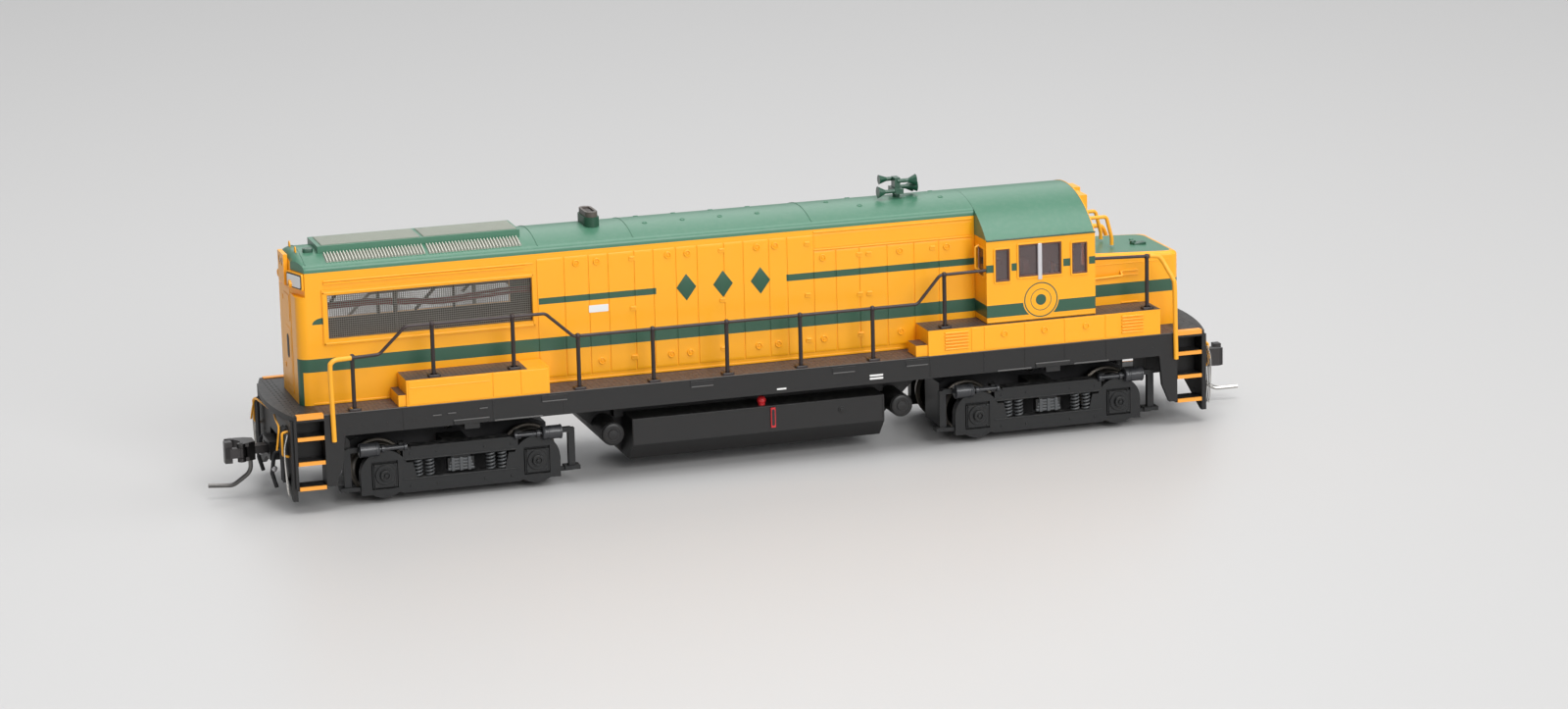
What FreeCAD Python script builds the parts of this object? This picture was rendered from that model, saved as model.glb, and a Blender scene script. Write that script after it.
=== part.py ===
import FreeCAD, Part
import math
import os

# Model diesel locomotive, 1:87, four axles, low nose at the +X end.
# Millimetres. +X towards the cab end, +Z up, the wheels stand on Z = 0, the right side is -Y.

vec = FreeCAD.Vector

# ---- driving dimensions -------------------------------------------------------------------
# wheels and axles
flange_radius = 5.85
flange_height = 0.6
flange_width = 0.8
wheel_width = 2.8
back_to_back = 14.4
axle_radius = 1.0
axle_offset = 15.7          # axle from its truck's centre
truck_centre = 63.0         # truck centre from the middle of the locomotive

# clearances
running_clearance = 0.05    # radial, shaft in bore
pivot_clearance = 0.08      # radial, truck boss in chassis
gear_space = 0.3            # round a gear, inside its housing
seat_gap = 0.05             # between parts that are assembled face to face

# gears
gear_module = 0.5
pinion_teeth = 14           # idlers and axle gears
worm_wheel_teeth = 26
gear_width = 2.4
backlash = 0.1
pressure_angle = math.radians(20)
idler_offset = 9.1          # idler from its truck's centre
worm_pitch_radius = 2.3
worm_turns = 4
worm_thread_width = 0.5     # at the pitch radius

# truck
housing_half_length = 20.4
housing_half_width = 4.6
tower_half_width = 3.4
tower_corner_gap = 0.02     # tower's corners inside the boss
bearing_radius = 1.85
frame_face = 15.4           # outer face of the side frames from the middle
frame_thickness = 2.0
hanger_width = 1.4
brake_cylinder_radius = 1.1

# levels, up from the axles
axle_z = flange_radius
deck_top = axle_z + 14.15
deck_thickness = 1.2
sill_depth = 4.7
chassis_bottom = deck_top - 4.1
chassis_top = deck_top - 1.3
box_height = 5.4
cab_eave = deck_top + 23.0
roof_crest = deck_top + 30.4
hood_eave = deck_top + 27.2

# deck
deck_half_width = 18.0
deck_overhang = 34.1        # deck corner beyond the truck centre
deck_bow = 2.6              # how far the deck's end stands out at the middle
sill_thickness = 1.0
step_inner = 28.0           # from the truck centre to the inner post's ladder side
step_outer = 33.6
step_depth = 4.4
tread_drops = (4.35, 9.4, 14.5)
tread_thickness = 0.7
pilot_thickness = 1.0
pilot_bottom = 2.6

# long hood
hood_half_width = 9.9
hood_wall = 1.0
hood_overhang = 30.9        # long hood's end beyond the rear truck centre
hood_corner_radius = 2.2
screen_length = 42.0
screen_height = 9.0
screen_sill = 13.3          # up from the deck
screen_setback = 6.2        # from the hood's end
screen_thickness = 0.3
fan_housing_half_width = 5.0
fan_housing_height = 0.9    # above the roof's crest
shell_space = 0.5           # between the chassis and the shell
chassis_cheek = 1.4         # chassis wall beside the motor and the flywheels
chassis_rim = 0.6           # chassis left beside each truck's boss
stack_behind_cab = 80.0
horn_behind_cab = 13.7

# cab and nose
cab_half_width = 17.1
cab_behind_truck = 13.9
cab_before_truck = 10.1
cab_wall = 1.0
glass_thickness = 0.5
nose_beyond_truck = 31.8
nose_height = 16.6
nose_fall = 1.1

# side boxes
rear_box_length = 29.4
front_box_length = 51.35
front_box_beyond_truck = 24.25
step_block_length = 1.6
front_block_length = 2.6

# handrails
rail_radius = 0.33
rail_head_radius = 0.6
rail_offset = 16.6          # from the middle
rail_height = 10.9
rear_end_post = 9.4         # end platform's post from the hood's end
middle_posts = 5
first_middle_post = 7.5     # in front of the screens
last_middle_post = 24.8     # behind the cab
box_post_inset = (6.0, 6.9) # from the rear box's ends

# fuel tank
tank_gap = 36.0             # from the truck centre to the tank's end
tank_half_width = 15.0
tank_top = deck_top - 7.9
tank_fold = deck_top - 13.4
tank_bottom = 2.9
reservoir_radius = 2.4
reservoir_gap = 4.0

# motor
motor_half_length = 13.0
motor_flat_depth = 1.0      # how far the can's flats are cut into its round
motor_wall = 0.7
shaft_radius = 1.0
flywheel_length = 9.0
end_bell_thickness = 1.2

# couplers
coupler_z = axle_z + 4.05
coupler_pivot = 29.5            # beyond the truck centre
coupler_pin_radius = 0.8
shank_half_width = 1.3
shank_half_height = 0.8
coupler_face = 45.4             # beyond the truck centre
trip_pin_radius = 0.45

# ---- sizes that follow --------------------------------------------------------------------
tread_radius = flange_radius - flange_height
pinion_radius = gear_module * pinion_teeth / 2
worm_wheel_radius = gear_module * worm_wheel_teeth / 2
idler_z = axle_z + math.sqrt((2 * pinion_radius) ** 2 - (axle_offset - idler_offset) ** 2)
worm_wheel_z = idler_z + math.sqrt((pinion_radius + worm_wheel_radius) ** 2 - idler_offset ** 2)
worm_z = worm_wheel_z + worm_wheel_radius + worm_pitch_radius
thread_pitch = math.pi * gear_module
gear_addendum = 0.9 * gear_module
gear_dedendum = 1.25 * gear_module
worm_addendum = 0.8 * gear_module
hood_rear = -(truck_centre + hood_overhang)
cab_rear = truck_centre - cab_behind_truck
cab_front = truck_centre + cab_before_truck
nose_front = truck_centre + nose_beyond_truck
deck_corner = truck_centre + deck_overhang
pilot_face = truck_centre + step_outer + 0.2 + pilot_thickness
sill_bottom = deck_top - sill_depth
box_top = deck_top + box_height
nose_top = deck_top + nose_height
roof_rise = roof_crest - cab_eave
roof_radius = (cab_half_width ** 2 + roof_rise ** 2) / (2 * roof_rise)
roof_centre_z = roof_crest - roof_radius
screen_rear = hood_rear + screen_setback
screen_front = screen_rear + screen_length
screen_bottom = deck_top + screen_sill
screen_top = screen_bottom + screen_height
rear_box_front = screen_front + 1.0
rear_box_back = rear_box_front - rear_box_length
tank_front = truck_centre - tank_gap
chassis_half_width = hood_half_width - hood_wall - shell_space
boss_radius = chassis_half_width - chassis_rim
tower_half_length = math.sqrt(boss_radius ** 2 - tower_half_width ** 2) - tower_corner_gap
motor_half_width = chassis_half_width - chassis_cheek
motor_radius = motor_half_width + motor_flat_depth
flywheel_radius = motor_half_width
flywheel_start = motor_half_length + end_bell_thickness + 1.0
flywheel_end = flywheel_start + flywheel_length


# ---- small helpers ------------------------------------------------------------------------
def box(x0, x1, y0, y1, z0, z1):
    return Part.makeBox(x1 - x0, y1 - y0, z1 - z0, vec(x0, y0, z0))


def rod(radius, start, end):
    return Part.makeCylinder(radius, (end - start).Length, start, end - start)


def cone(radius_a, radius_b, start, end):
    return Part.makeCone(radius_a, radius_b, (end - start).Length, start, end - start)


def extrude(corners, along):
    return Part.Face(Part.makePolygon(corners + corners[:1])).extrude(along)


def plate_xz(points, y0, y1):
    return extrude([vec(x, y0, z) for x, z in points], vec(0, y1 - y0, 0))


def plate_yz(points, x0, x1):
    return extrude([vec(x0, y, z) for y, z in points], vec(x1 - x0, 0, 0))


def plate_xy(points, z0, z1):
    return extrude([vec(x, y, z0) for x, y in points], vec(0, 0, z1 - z0))


def mirror_x(shape):
    return shape.mirror(vec(0, 0, 0), vec(1, 0, 0))


def mirror_y(shape):
    return shape.mirror(vec(0, 0, 0), vec(0, 1, 0))


def turned(shape):
    """The same piece at the other end: half a turn about the vertical."""
    other = shape.copy()
    other.rotate(vec(0, 0, 0), vec(0, 0, 1), 180)
    return other


def join(shapes):
    return shapes[0].fuse(list(shapes[1:])).removeSplitter()


def both_sides(shape):
    return [shape, mirror_y(shape)]


def wire_path(points, bend):
    """Straight runs joined by tangent arcs of the given bend radius."""
    edges = []
    start = points[0]
    for before, corner, after in zip(points, points[1:], points[2:]):
        into = (corner - before).normalize()
        out = (after - corner).normalize()
        half_turn = into.getAngle(out) / 2
        reach = bend * math.tan(half_turn)
        arc_start = corner - into * reach
        arc_end = corner + out * reach
        toward_centre = (out - into).normalize()
        centre = corner + toward_centre * (bend / math.cos(half_turn))
        arc_middle = centre - toward_centre * bend
        edges.append(Part.LineSegment(start, arc_start).toShape())
        edges.append(Part.Arc(arc_start, arc_middle, arc_end).toShape())
        start = arc_end
    edges.append(Part.LineSegment(start, points[-1]).toShape())
    return Part.Wire(edges)


def bent_rod(points, radius, bend):
    path = wire_path(points, bend)
    section = Part.Wire([Part.makeCircle(radius, points[0], points[1] - points[0])])
    return path.makePipeShell([section], True, False)


def grab_iron(corners, radius=0.22, bend=0.6):
    return bent_rod([vec(*corner) for corner in corners], radius, bend)


def round_edges(shape, radius, chosen):
    return shape.makeFillet(radius, [edge for edge in shape.Edges if chosen(edge)])


def is_upright(edge):
    ends = edge.Vertexes
    return len(ends) == 2 and abs(ends[0].X - ends[1].X) + abs(ends[0].Y - ends[1].Y) < 1e-6


def save(name, pieces):
    solids = [solid for piece in pieces for solid in piece.Solids]
    for solid in solids:
        if not solid.isValid():
            raise ValueError("bad solid in " + name)
    Part.makeCompound(solids).exportStep("parts/" + name + ".step")


# ---- gears --------------------------------------------------------------------------------
def involute(angle):
    return math.tan(angle) - angle


def gear(teeth, phase, x, z):
    """Spur gear about Y. phase is the direction of one tooth, from +X towards +Z."""
    pitch_radius = gear_module * teeth / 2
    base_radius = pitch_radius * math.cos(pressure_angle)
    root_radius = pitch_radius - gear_dedendum
    tip_radius = pitch_radius + gear_addendum
    half_at_pitch = math.pi / (2 * teeth) - backlash / (2 * pitch_radius)

    def half_angle(radius):
        roll = math.acos(min(1.0, base_radius / radius))
        return half_at_pitch + involute(pressure_angle) - involute(roll)

    flank = [root_radius, base_radius, pitch_radius, tip_radius]
    outline = []
    for tooth in range(teeth):
        middle = phase + 2 * math.pi * tooth / teeth
        for radius in flank:
            angle = middle - half_angle(radius)
            outline.append((x + radius * math.cos(angle), z + radius * math.sin(angle)))
        for radius in reversed(flank):
            angle = middle + half_angle(radius)
            outline.append((x + radius * math.cos(angle), z + radius * math.sin(angle)))
    return plate_xz(outline, -gear_width / 2, gear_width / 2)


def meshing_phase(teeth_a, phase_a, direction, teeth_b):
    """Phase of gear b, which lies in the given direction from gear a, so that teeth meet gaps."""
    turn_a = (direction - phase_a) * teeth_a / (2 * math.pi)
    turn_b = 0.5 - turn_a
    return direction + math.pi - turn_b * 2 * math.pi / teeth_b


def worm_thread():
    """Right-handed thread about X; it crosses the bottom of the worm at X = 0."""
    root_radius = worm_pitch_radius - gear_dedendum
    tip_radius = worm_pitch_radius + worm_addendum
    slope = math.tan(pressure_angle)
    root_half = worm_thread_width / 2 + (worm_pitch_radius - root_radius) * slope
    tip_half = worm_thread_width / 2 - worm_addendum * slope
    sunk = 0.1
    section = Part.makePolygon([
        vec(root_radius - sunk, 0, -root_half),
        vec(tip_radius, 0, -tip_half),
        vec(tip_radius, 0, tip_half),
        vec(root_radius - sunk, 0, root_half),
        vec(root_radius - sunk, 0, -root_half),
    ])
    helix = Part.makeHelix(thread_pitch, thread_pitch * worm_turns, worm_pitch_radius)
    thread = Part.Wire(helix.Edges).makePipeShell([section], True, True)
    thread.translate(vec(0, 0, -thread_pitch * worm_turns / 2))
    thread.rotate(vec(0, 0, 0), vec(0, 1, 0), 90)
    return thread


# ---- truck at the +X end ------------------------------------------------------------------
tower_split = worm_z
worm_bearing_outer = tower_half_length - 0.2
worm_cavity_half = thread_pitch * worm_turns / 2 + 0.8
cup_start = tower_half_length + 1.2
cup_bottom = cup_start + 1.0
cup_mouth = cup_bottom + 2.8
cup_radius = 3.0
cup_bore = 2.4
cup_swing = cup_radius + 2.2      # how far the cup reaches sideways when the truck turns
journal_radius = 0.8


def gear_cavity(radius, x, z, half_width):
    return rod(radius, vec(truck_centre + x, -half_width, z), vec(truck_centre + x, half_width, z))


def make_gearbox():
    c = truck_centre
    shoulder = worm_wheel_z + 0.9
    body = plate_xz([
        (c - housing_half_length, axle_z - 4.6),
        (c + housing_half_length, axle_z - 4.6),
        (c + housing_half_length, axle_z + 4.8),
        (c + idler_offset + 4.6, shoulder),
        (c - idler_offset - 4.6, shoulder),
        (c - housing_half_length, axle_z + 4.8),
    ], -housing_half_width, housing_half_width)
    flange = rod(boss_radius + 0.6, vec(c, 0, shoulder - 0.6), vec(c, 0, chassis_bottom - 0.1))
    boss = rod(boss_radius, vec(c, 0, shoulder - 0.6), vec(c, 0, chassis_top + 0.05))
    tower = box(c - tower_half_length, c + tower_half_length, -tower_half_width, tower_half_width,
                shoulder, tower_split)
    shape = join([body, flange, boss, tower])
    half = gear_width / 2 + 0.25
    outer_pinion = pinion_radius + gear_addendum + gear_space
    outer_wheel = worm_wheel_radius + gear_addendum + gear_space
    cuts = [gear_cavity(outer_wheel, 0, worm_wheel_z, half)]
    for side in (-1, 1):
        cuts.append(gear_cavity(outer_pinion, side * axle_offset, axle_z, half))
        cuts.append(gear_cavity(outer_pinion, side * idler_offset, idler_z, half))
        cuts.append(gear_cavity(bearing_radius, side * axle_offset, axle_z, housing_half_width + 1))
        cuts.append(gear_cavity(journal_radius + running_clearance, side * idler_offset, idler_z,
                                housing_half_width + 1))
    cuts.append(gear_cavity(axle_radius + running_clearance, 0, worm_wheel_z, boss_radius + 1))
    cuts.append(rod(worm_pitch_radius + worm_addendum + gear_space,
                    vec(c - worm_cavity_half, 0, worm_z), vec(c + worm_cavity_half, 0, worm_z)))
    cuts.append(rod(journal_radius + running_clearance, vec(c - tower_half_length - 1, 0, worm_z),
                    vec(c + tower_half_length + 1, 0, worm_z)))
    return shape.cut(cuts)


def make_gearbox_cover():
    c = truck_centre
    cover_top = worm_z + worm_pitch_radius + worm_addendum + gear_space + 0.9
    cap = box(c - tower_half_length, c + tower_half_length, -tower_half_width, tower_half_width,
              tower_split + seat_gap, cover_top)
    plates = both_sides(box(c - 4.5, c + 4.5, tower_half_width + seat_gap, tower_half_width + 1.1,
                            chassis_top + 0.2, cover_top))
    joints = both_sides(box(c - 4.5, c + 4.5, tower_half_width - 0.4, tower_half_width + 1.1,
                            cover_top - 0.8, cover_top))
    ring = rod(boss_radius + 0.7, vec(c, 0, chassis_top + 0.2), vec(c, 0, chassis_top + 1.0))
    ring = ring.cut(box(c - tower_half_length - seat_gap, c + tower_half_length + seat_gap,
                        -tower_half_width - seat_gap, tower_half_width + seat_gap, 0, cover_top))
    shape = join([cap, ring] + plates + joints)
    cuts = [rod(worm_pitch_radius + worm_addendum + gear_space,
                vec(c - worm_cavity_half, 0, worm_z), vec(c + worm_cavity_half, 0, worm_z)),
            rod(journal_radius + running_clearance, vec(c - tower_half_length - 1, 0, worm_z),
                vec(c + tower_half_length + 1, 0, worm_z)),
            rod(cup_radius + 0.25, vec(c - cup_mouth, 0, worm_z),
                vec(c - tower_half_length - 0.6, 0, worm_z))]
    return shape.cut(cuts)


def make_sideframe():
    """The +Y side frame: beams, journal boxes, springs and brake gear in one moulding."""
    c = truck_centre
    outer = frame_face
    inner = frame_face - frame_thickness
    arch_radius = 4.9
    beam_half = axle_offset - 3.4
    pieces = []
    # lower beam between the journal boxes, dipped in the middle
    pieces.append(plate_xz([
        (c - beam_half, axle_z - 4.2), (c + beam_half, axle_z - 4.2),
        (c + beam_half + 0.6, axle_z + 2.0), (c + beam_half - 2.4, axle_z + 2.0),
        (c + beam_half - 3.2, axle_z - 1.2), (c - beam_half + 3.2, axle_z - 1.2),
        (c - beam_half + 2.4, axle_z + 2.0), (c - beam_half - 0.6, axle_z + 2.0),
    ], inner, outer))
    # top beam
    pieces.append(box(c - beam_half + 0.4, c + beam_half - 0.4, inner, outer,
                      axle_z + 2.5, axle_z + 5.1))
    pieces.append(box(c - beam_half + 2.0, c + beam_half - 2.0, inner - 0.8, outer + 0.3,
                      axle_z + 4.8, axle_z + 5.3))
    for side in (-1, 1):
        x = c + side * axle_offset
        arch = rod(arch_radius, vec(x, inner, axle_z + 0.1), vec(x, outer, axle_z + 0.1))
        legs = box(x - arch_radius, x + arch_radius, inner, outer, axle_z - 4.0, axle_z + 0.1)
        mouth = box(x - 2.7, x + 2.7, outer - 0.7, outer + 1, axle_z - 3.0, axle_z + 2.7)
        pieces.append(arch.fuse(legs).cut(mouth))
        pieces.append(box(x - 2.2, x + 2.2, inner, outer + 0.3, axle_z - 2.5, axle_z + 2.2))
        pieces.append(rod(1.6, vec(x, outer, axle_z), vec(x, outer + 0.6, axle_z)))
        pieces.append(rod(0.9, vec(x, outer, axle_z), vec(x, outer + 0.8, axle_z)))
        # brake cylinder with its push rod
        cylinder_x = c + side * (axle_offset + 2.9)
        cylinder_z = axle_z + 5.5
        middle_y = outer - 0.6
        pieces.append(rod(brake_cylinder_radius, vec(cylinder_x - 1.75, middle_y, cylinder_z),
                          vec(cylinder_x + 1.75, middle_y, cylinder_z)))
        rod_start = cylinder_x - side * 1.6
        pieces.append(rod(0.35, vec(rod_start, middle_y, cylinder_z),
                          vec(rod_start - side * 5.2, middle_y, cylinder_z)))
        pieces.append(rod(0.7, vec(rod_start, middle_y, cylinder_z),
                          vec(rod_start - side * 0.9, middle_y, cylinder_z)))
        bracket_x = rod_start - side * 5.0
        pieces.append(box(bracket_x - 0.6, bracket_x + 0.6, inner, outer, axle_z + 4.6, axle_z + 6.2))
        # brake hanger outside the wheel, with its foot and its shoe
        hanger_x = c + side * (axle_offset + flange_radius + 1.6)
        hanger = box(hanger_x - hanger_width / 2, hanger_x + hanger_width / 2, outer - 1.6, outer - 0.5,
                     axle_z - 2.2, axle_z + 5.7)
        arm = box(min(hanger_x, x + side * 3.0), max(hanger_x, x + side * 3.0), outer - 1.6, outer - 0.5,
                  axle_z + 4.9, axle_z + 5.9)
        foot = box(hanger_x - 1.6, hanger_x + 1.6, outer - 2.6, outer, axle_z - 2.9, axle_z - 2.1)
        strut_x = sorted((x + side * 4.4, hanger_x))
        strut = box(strut_x[0], strut_x[1], outer - 1.6, outer - 0.5, axle_z - 3.1, axle_z - 2.3)
        pieces += [hanger, arm, foot, strut]
    # coil springs and the leaf spring pack
    for spring in (-8.7, -6.3, 6.3, 8.7):
        pieces.append(rod(0.5, vec(c + spring, outer - 1.0, axle_z - 1.5),
                          vec(c + spring, outer - 1.0, axle_z + 2.7)))
    pieces.append(box(c - 2.7, c + 2.7, inner + 0.2, outer - 0.1, axle_z - 0.6, axle_z + 2.0))
    pieces.append(box(c - 2.0, c + 2.0, inner + 0.4, outer - 0.3, axle_z + 1.9, axle_z + 2.6))
    # bolster arm to the gear housing
    pieces.append(box(c - 2.6, c + 2.6, housing_half_width + seat_gap, inner + 0.2,
                      axle_z + 3.0, axle_z + 4.8))
    return join(pieces)


def make_worm():
    c = truck_centre
    core = rod(worm_pitch_radius - gear_dedendum, vec(-thread_pitch * worm_turns / 2 - 0.5, 0, 0),
               vec(thread_pitch * worm_turns / 2 + 0.5, 0, 0))
    shaft = rod(journal_radius, vec(-cup_bottom, 0, 0), vec(worm_bearing_outer, 0, 0))
    cup = rod(cup_radius, vec(-cup_mouth, 0, 0), vec(-cup_start, 0, 0))
    cup = cup.cut(rod(cup_bore, vec(-cup_mouth - 1, 0, 0), vec(-cup_bottom, 0, 0)))
    shape = join([core, worm_thread(), shaft, cup])
    shape.translate(vec(c, 0, worm_z))
    return shape


def make_worm_wheel():
    phase = math.pi / 2 + math.pi / worm_wheel_teeth
    wheel = gear(worm_wheel_teeth, phase, truck_centre, worm_wheel_z)
    journals = rod(axle_radius, vec(truck_centre, -tower_half_width + 0.1, worm_wheel_z),
                   vec(truck_centre, tower_half_width - 0.1, worm_wheel_z))
    return wheel.fuse(journals), phase


def make_idler(side, wheel_phase):
    x = truck_centre + side * idler_offset
    direction = math.atan2(idler_z - worm_wheel_z, side * idler_offset)
    phase = meshing_phase(worm_wheel_teeth, wheel_phase, direction, pinion_teeth)
    wheel = gear(pinion_teeth, phase, x, idler_z)
    journals = rod(journal_radius, vec(x, -housing_half_width + 0.2, idler_z),
                   vec(x, housing_half_width - 0.2, idler_z))
    return wheel.fuse(journals), phase


def make_wheel(x, side):
    """One wheel with its half axle, turned in one piece."""
    back = back_to_back / 2
    rim = tread_radius
    profile = [
        (0, back - 2.6), (axle_radius, back - 2.6), (axle_radius, back), (flange_radius - 0.25, back),
        (flange_radius, back + 0.3), (flange_radius - 0.15, back + flange_width - 0.2),
        (rim + 0.05, back + flange_width), (rim - 0.1, back + wheel_width),
        (rim - 0.9, back + wheel_width), (rim - 1.1, back + wheel_width - 0.7),
        (2.2, back + wheel_width - 0.7), (1.9, back + wheel_width + 0.1),
        (0.9, back + wheel_width + 0.1), (0.9, back + wheel_width + 0.6), (0, back + wheel_width + 0.6),
    ]
    corners = [vec(radius, side * y, 0) for radius, y in profile]
    face = Part.Face(Part.makePolygon(corners + corners[:1]))
    wheel = face.revolve(vec(0, 0, 0), vec(0, 1, 0), 360)
    wheel.translate(vec(x, 0, axle_z))
    return wheel


def make_wheelset(side, idler_phase):
    x = truck_centre + side * axle_offset
    direction = math.atan2(axle_z - idler_z, side * (axle_offset - idler_offset))
    phase = meshing_phase(pinion_teeth, idler_phase, direction, pinion_teeth)
    sleeve_half = back_to_back / 2 - 2.6
    sleeve = rod(axle_radius, vec(x, -sleeve_half, axle_z), vec(x, sleeve_half, axle_z))
    gear_and_sleeve = gear(pinion_teeth, phase, x, axle_z).fuse(sleeve)
    return join([gear_and_sleeve, make_wheel(x, -1), make_wheel(x, 1)])


def make_bearings():
    rings = []
    for side in (-1, 1):
        x = truck_centre + side * axle_offset
        for end in (-1, 1):
            inner_y = end * (gear_width / 2 + 0.6)
            outer_y = end * (housing_half_width + 0.6)
            ring = rod(bearing_radius, vec(x, inner_y, axle_z), vec(x, outer_y, axle_z))
            bore = rod(axle_radius + running_clearance, vec(x, inner_y - end, axle_z),
                       vec(x, outer_y + end, axle_z))
            rings.append(ring.cut(bore))
    return rings


def save_trucks():
    wheel, wheel_phase = make_worm_wheel()
    idler_inner, phase_inner = make_idler(-1, wheel_phase)
    idler_outer, phase_outer = make_idler(1, wheel_phase)
    sideframe = make_sideframe()
    truck = {
        "gearbox": [make_gearbox()],
        "gearbox_cover": [make_gearbox_cover()],
        "sideframes": both_sides(sideframe),
        "axle_bearings": make_bearings(),
        "worm": [make_worm()],
        "worm_wheel": [wheel],
        "idler_inner": [idler_inner],
        "idler_outer": [idler_outer],
        "wheelset_inner": [make_wheelset(-1, phase_inner)],
        "wheelset_outer": [make_wheelset(1, phase_outer)],
    }
    for name, pieces in truck.items():
        save("front_" + name, pieces)
        save("rear_" + name, [turned(piece) for piece in pieces])


# ---- motor --------------------------------------------------------------------------------
def motor_rod(radius, x0, x1):
    return rod(radius, vec(x0, 0, worm_z), vec(x1, 0, worm_z))


def flat_sided(radius, half_width, x0, x1):
    slab = box(x0, x1, -half_width, half_width, worm_z - radius, worm_z + radius)
    return motor_rod(radius, x0, x1).common(slab)


def save_motor():
    half = motor_half_length
    can = flat_sided(motor_radius, motor_half_width, -half, half)
    bells = [motor_rod(3.0, half - 0.1, half + end_bell_thickness),
             motor_rod(3.0, -half - end_bell_thickness, -half + 0.1)]
    can = join([can] + bells)
    can = can.cut([flat_sided(motor_radius - motor_wall, motor_half_width - motor_wall, 1 - half, half - 1),
                   motor_rod(shaft_radius + running_clearance, -half - 3, half + 3)])
    save("motor_housing", [can])

    magnet_outer = motor_radius - motor_wall - 0.02
    ring = motor_rod(magnet_outer, -8.5, 8.5).cut(motor_rod(magnet_outer - 1.6, -9, 9))
    upper = ring.common(box(-9, 9, -4.6, 4.6, worm_z, worm_z + motor_radius))
    lower = ring.common(box(-9, 9, -4.6, 4.6, worm_z - motor_radius, worm_z))
    save("motor_magnets", [upper, lower])

    armature_radius = magnet_outer - 1.6 - 0.35
    core = motor_rod(armature_radius, -7.5, 7.5)
    slots = []
    for index in range(5):
        slot = box(-8, 8, -0.45, 0.45, worm_z + 2.2, worm_z + motor_radius)
        slot.rotate(vec(0, 0, worm_z), vec(1, 0, 0), 72 * index)
        slots.append(slot)
    core = core.cut(slots + [motor_rod(shaft_radius, -9, 9)])
    commutator = motor_rod(2.0, 8.2, 11.0).cut(motor_rod(shaft_radius, 8, 12))
    save("motor_armature", [core, commutator])
    save("motor_shaft", [motor_rod(shaft_radius, -flywheel_end, flywheel_end)])

    flywheel = motor_rod(flywheel_radius, flywheel_start, flywheel_end)
    flywheel = flywheel.cut(motor_rod(shaft_radius, flywheel_start - 1, flywheel_end + 1))
    groove = motor_rod(flywheel_radius + 1, flywheel_end - 2.2, flywheel_end - 1.6)
    groove = groove.cut(motor_rod(flywheel_radius - 0.5, flywheel_start, flywheel_end))
    flywheel = flywheel.cut(groove)
    save("flywheels", [flywheel, turned(flywheel)])

    ball_x = truck_centre - cup_bottom - 1.2
    drive = join([motor_rod(2.2, flywheel_end, flywheel_end + 2.5),
                  motor_rod(0.9, flywheel_end, truck_centre - cup_mouth - 3.0),
                  motor_rod(0.5, flywheel_end, ball_x),
                  Part.makeSphere(0.7, vec(ball_x, 0, worm_z))])
    save("drive_shafts", [drive, turned(drive)])


# ---- chassis ------------------------------------------------------------------------------
def save_chassis():
    inner = chassis_half_width
    plate = box(-deck_corner + 2.2, deck_corner - 2.2, -inner, inner, chassis_bottom, chassis_top)
    block_end = min(truck_centre - cup_mouth - 2.0, cab_rear - hood_wall - 0.5)
    pieces = [plate]
    for side in (-1, 1):
        ends = sorted((side * (motor_half_length + 0.2), side * block_end))
        pieces.append(box(ends[0], ends[1], -inner, inner, chassis_bottom, worm_z + 10.0))
    pieces.append(box(truck_centre + 12.0, nose_front - 4.0, -inner, inner,
                      chassis_bottom, deck_top + 7.0))
    pieces.append(box(hood_rear + 4.0, -truck_centre - 12.0, -inner, inner,
                      chassis_bottom, deck_top + 7.0))
    pieces += both_sides(box(-motor_half_length - 0.3, motor_half_length + 0.3,
                             motor_half_width + seat_gap, inner, chassis_bottom, worm_z + 3.0))
    shape = join(pieces)
    cuts = [flat_sided(motor_radius + seat_gap, motor_half_width + seat_gap,
                       -motor_half_length - 0.2, motor_half_length + 0.2),
            box(-motor_half_length - 0.2, motor_half_length + 0.2, -motor_half_width - seat_gap,
                motor_half_width + seat_gap, 0, worm_z),
            motor_rod(3.2, -flywheel_start, flywheel_start)]
    channel = flywheel_radius + 0.5
    for side in (-1, 1):
        ends = sorted((side * (flywheel_start - 0.4), side * (flywheel_end + 0.5)))
        cuts.append(box(ends[0], ends[1], -channel, channel, worm_z - channel, worm_z + 12))
        ends = sorted((side * flywheel_end, side * (block_end + 1)))
        cuts.append(box(ends[0], ends[1], -2.9, 2.9, worm_z - 2.9, worm_z + 12))
        ends = sorted((side * (block_end - 1), side * (truck_centre - tower_half_length)))
        cuts.append(box(ends[0], ends[1], -cup_swing, cup_swing, worm_z - cup_radius - 0.3, worm_z))
        x = side * truck_centre
        cuts.append(rod(boss_radius + pivot_clearance, vec(x, 0, chassis_bottom - 1),
                        vec(x, 0, chassis_top + 1)))
    save("chassis", [shape.cut(cuts)])


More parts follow.
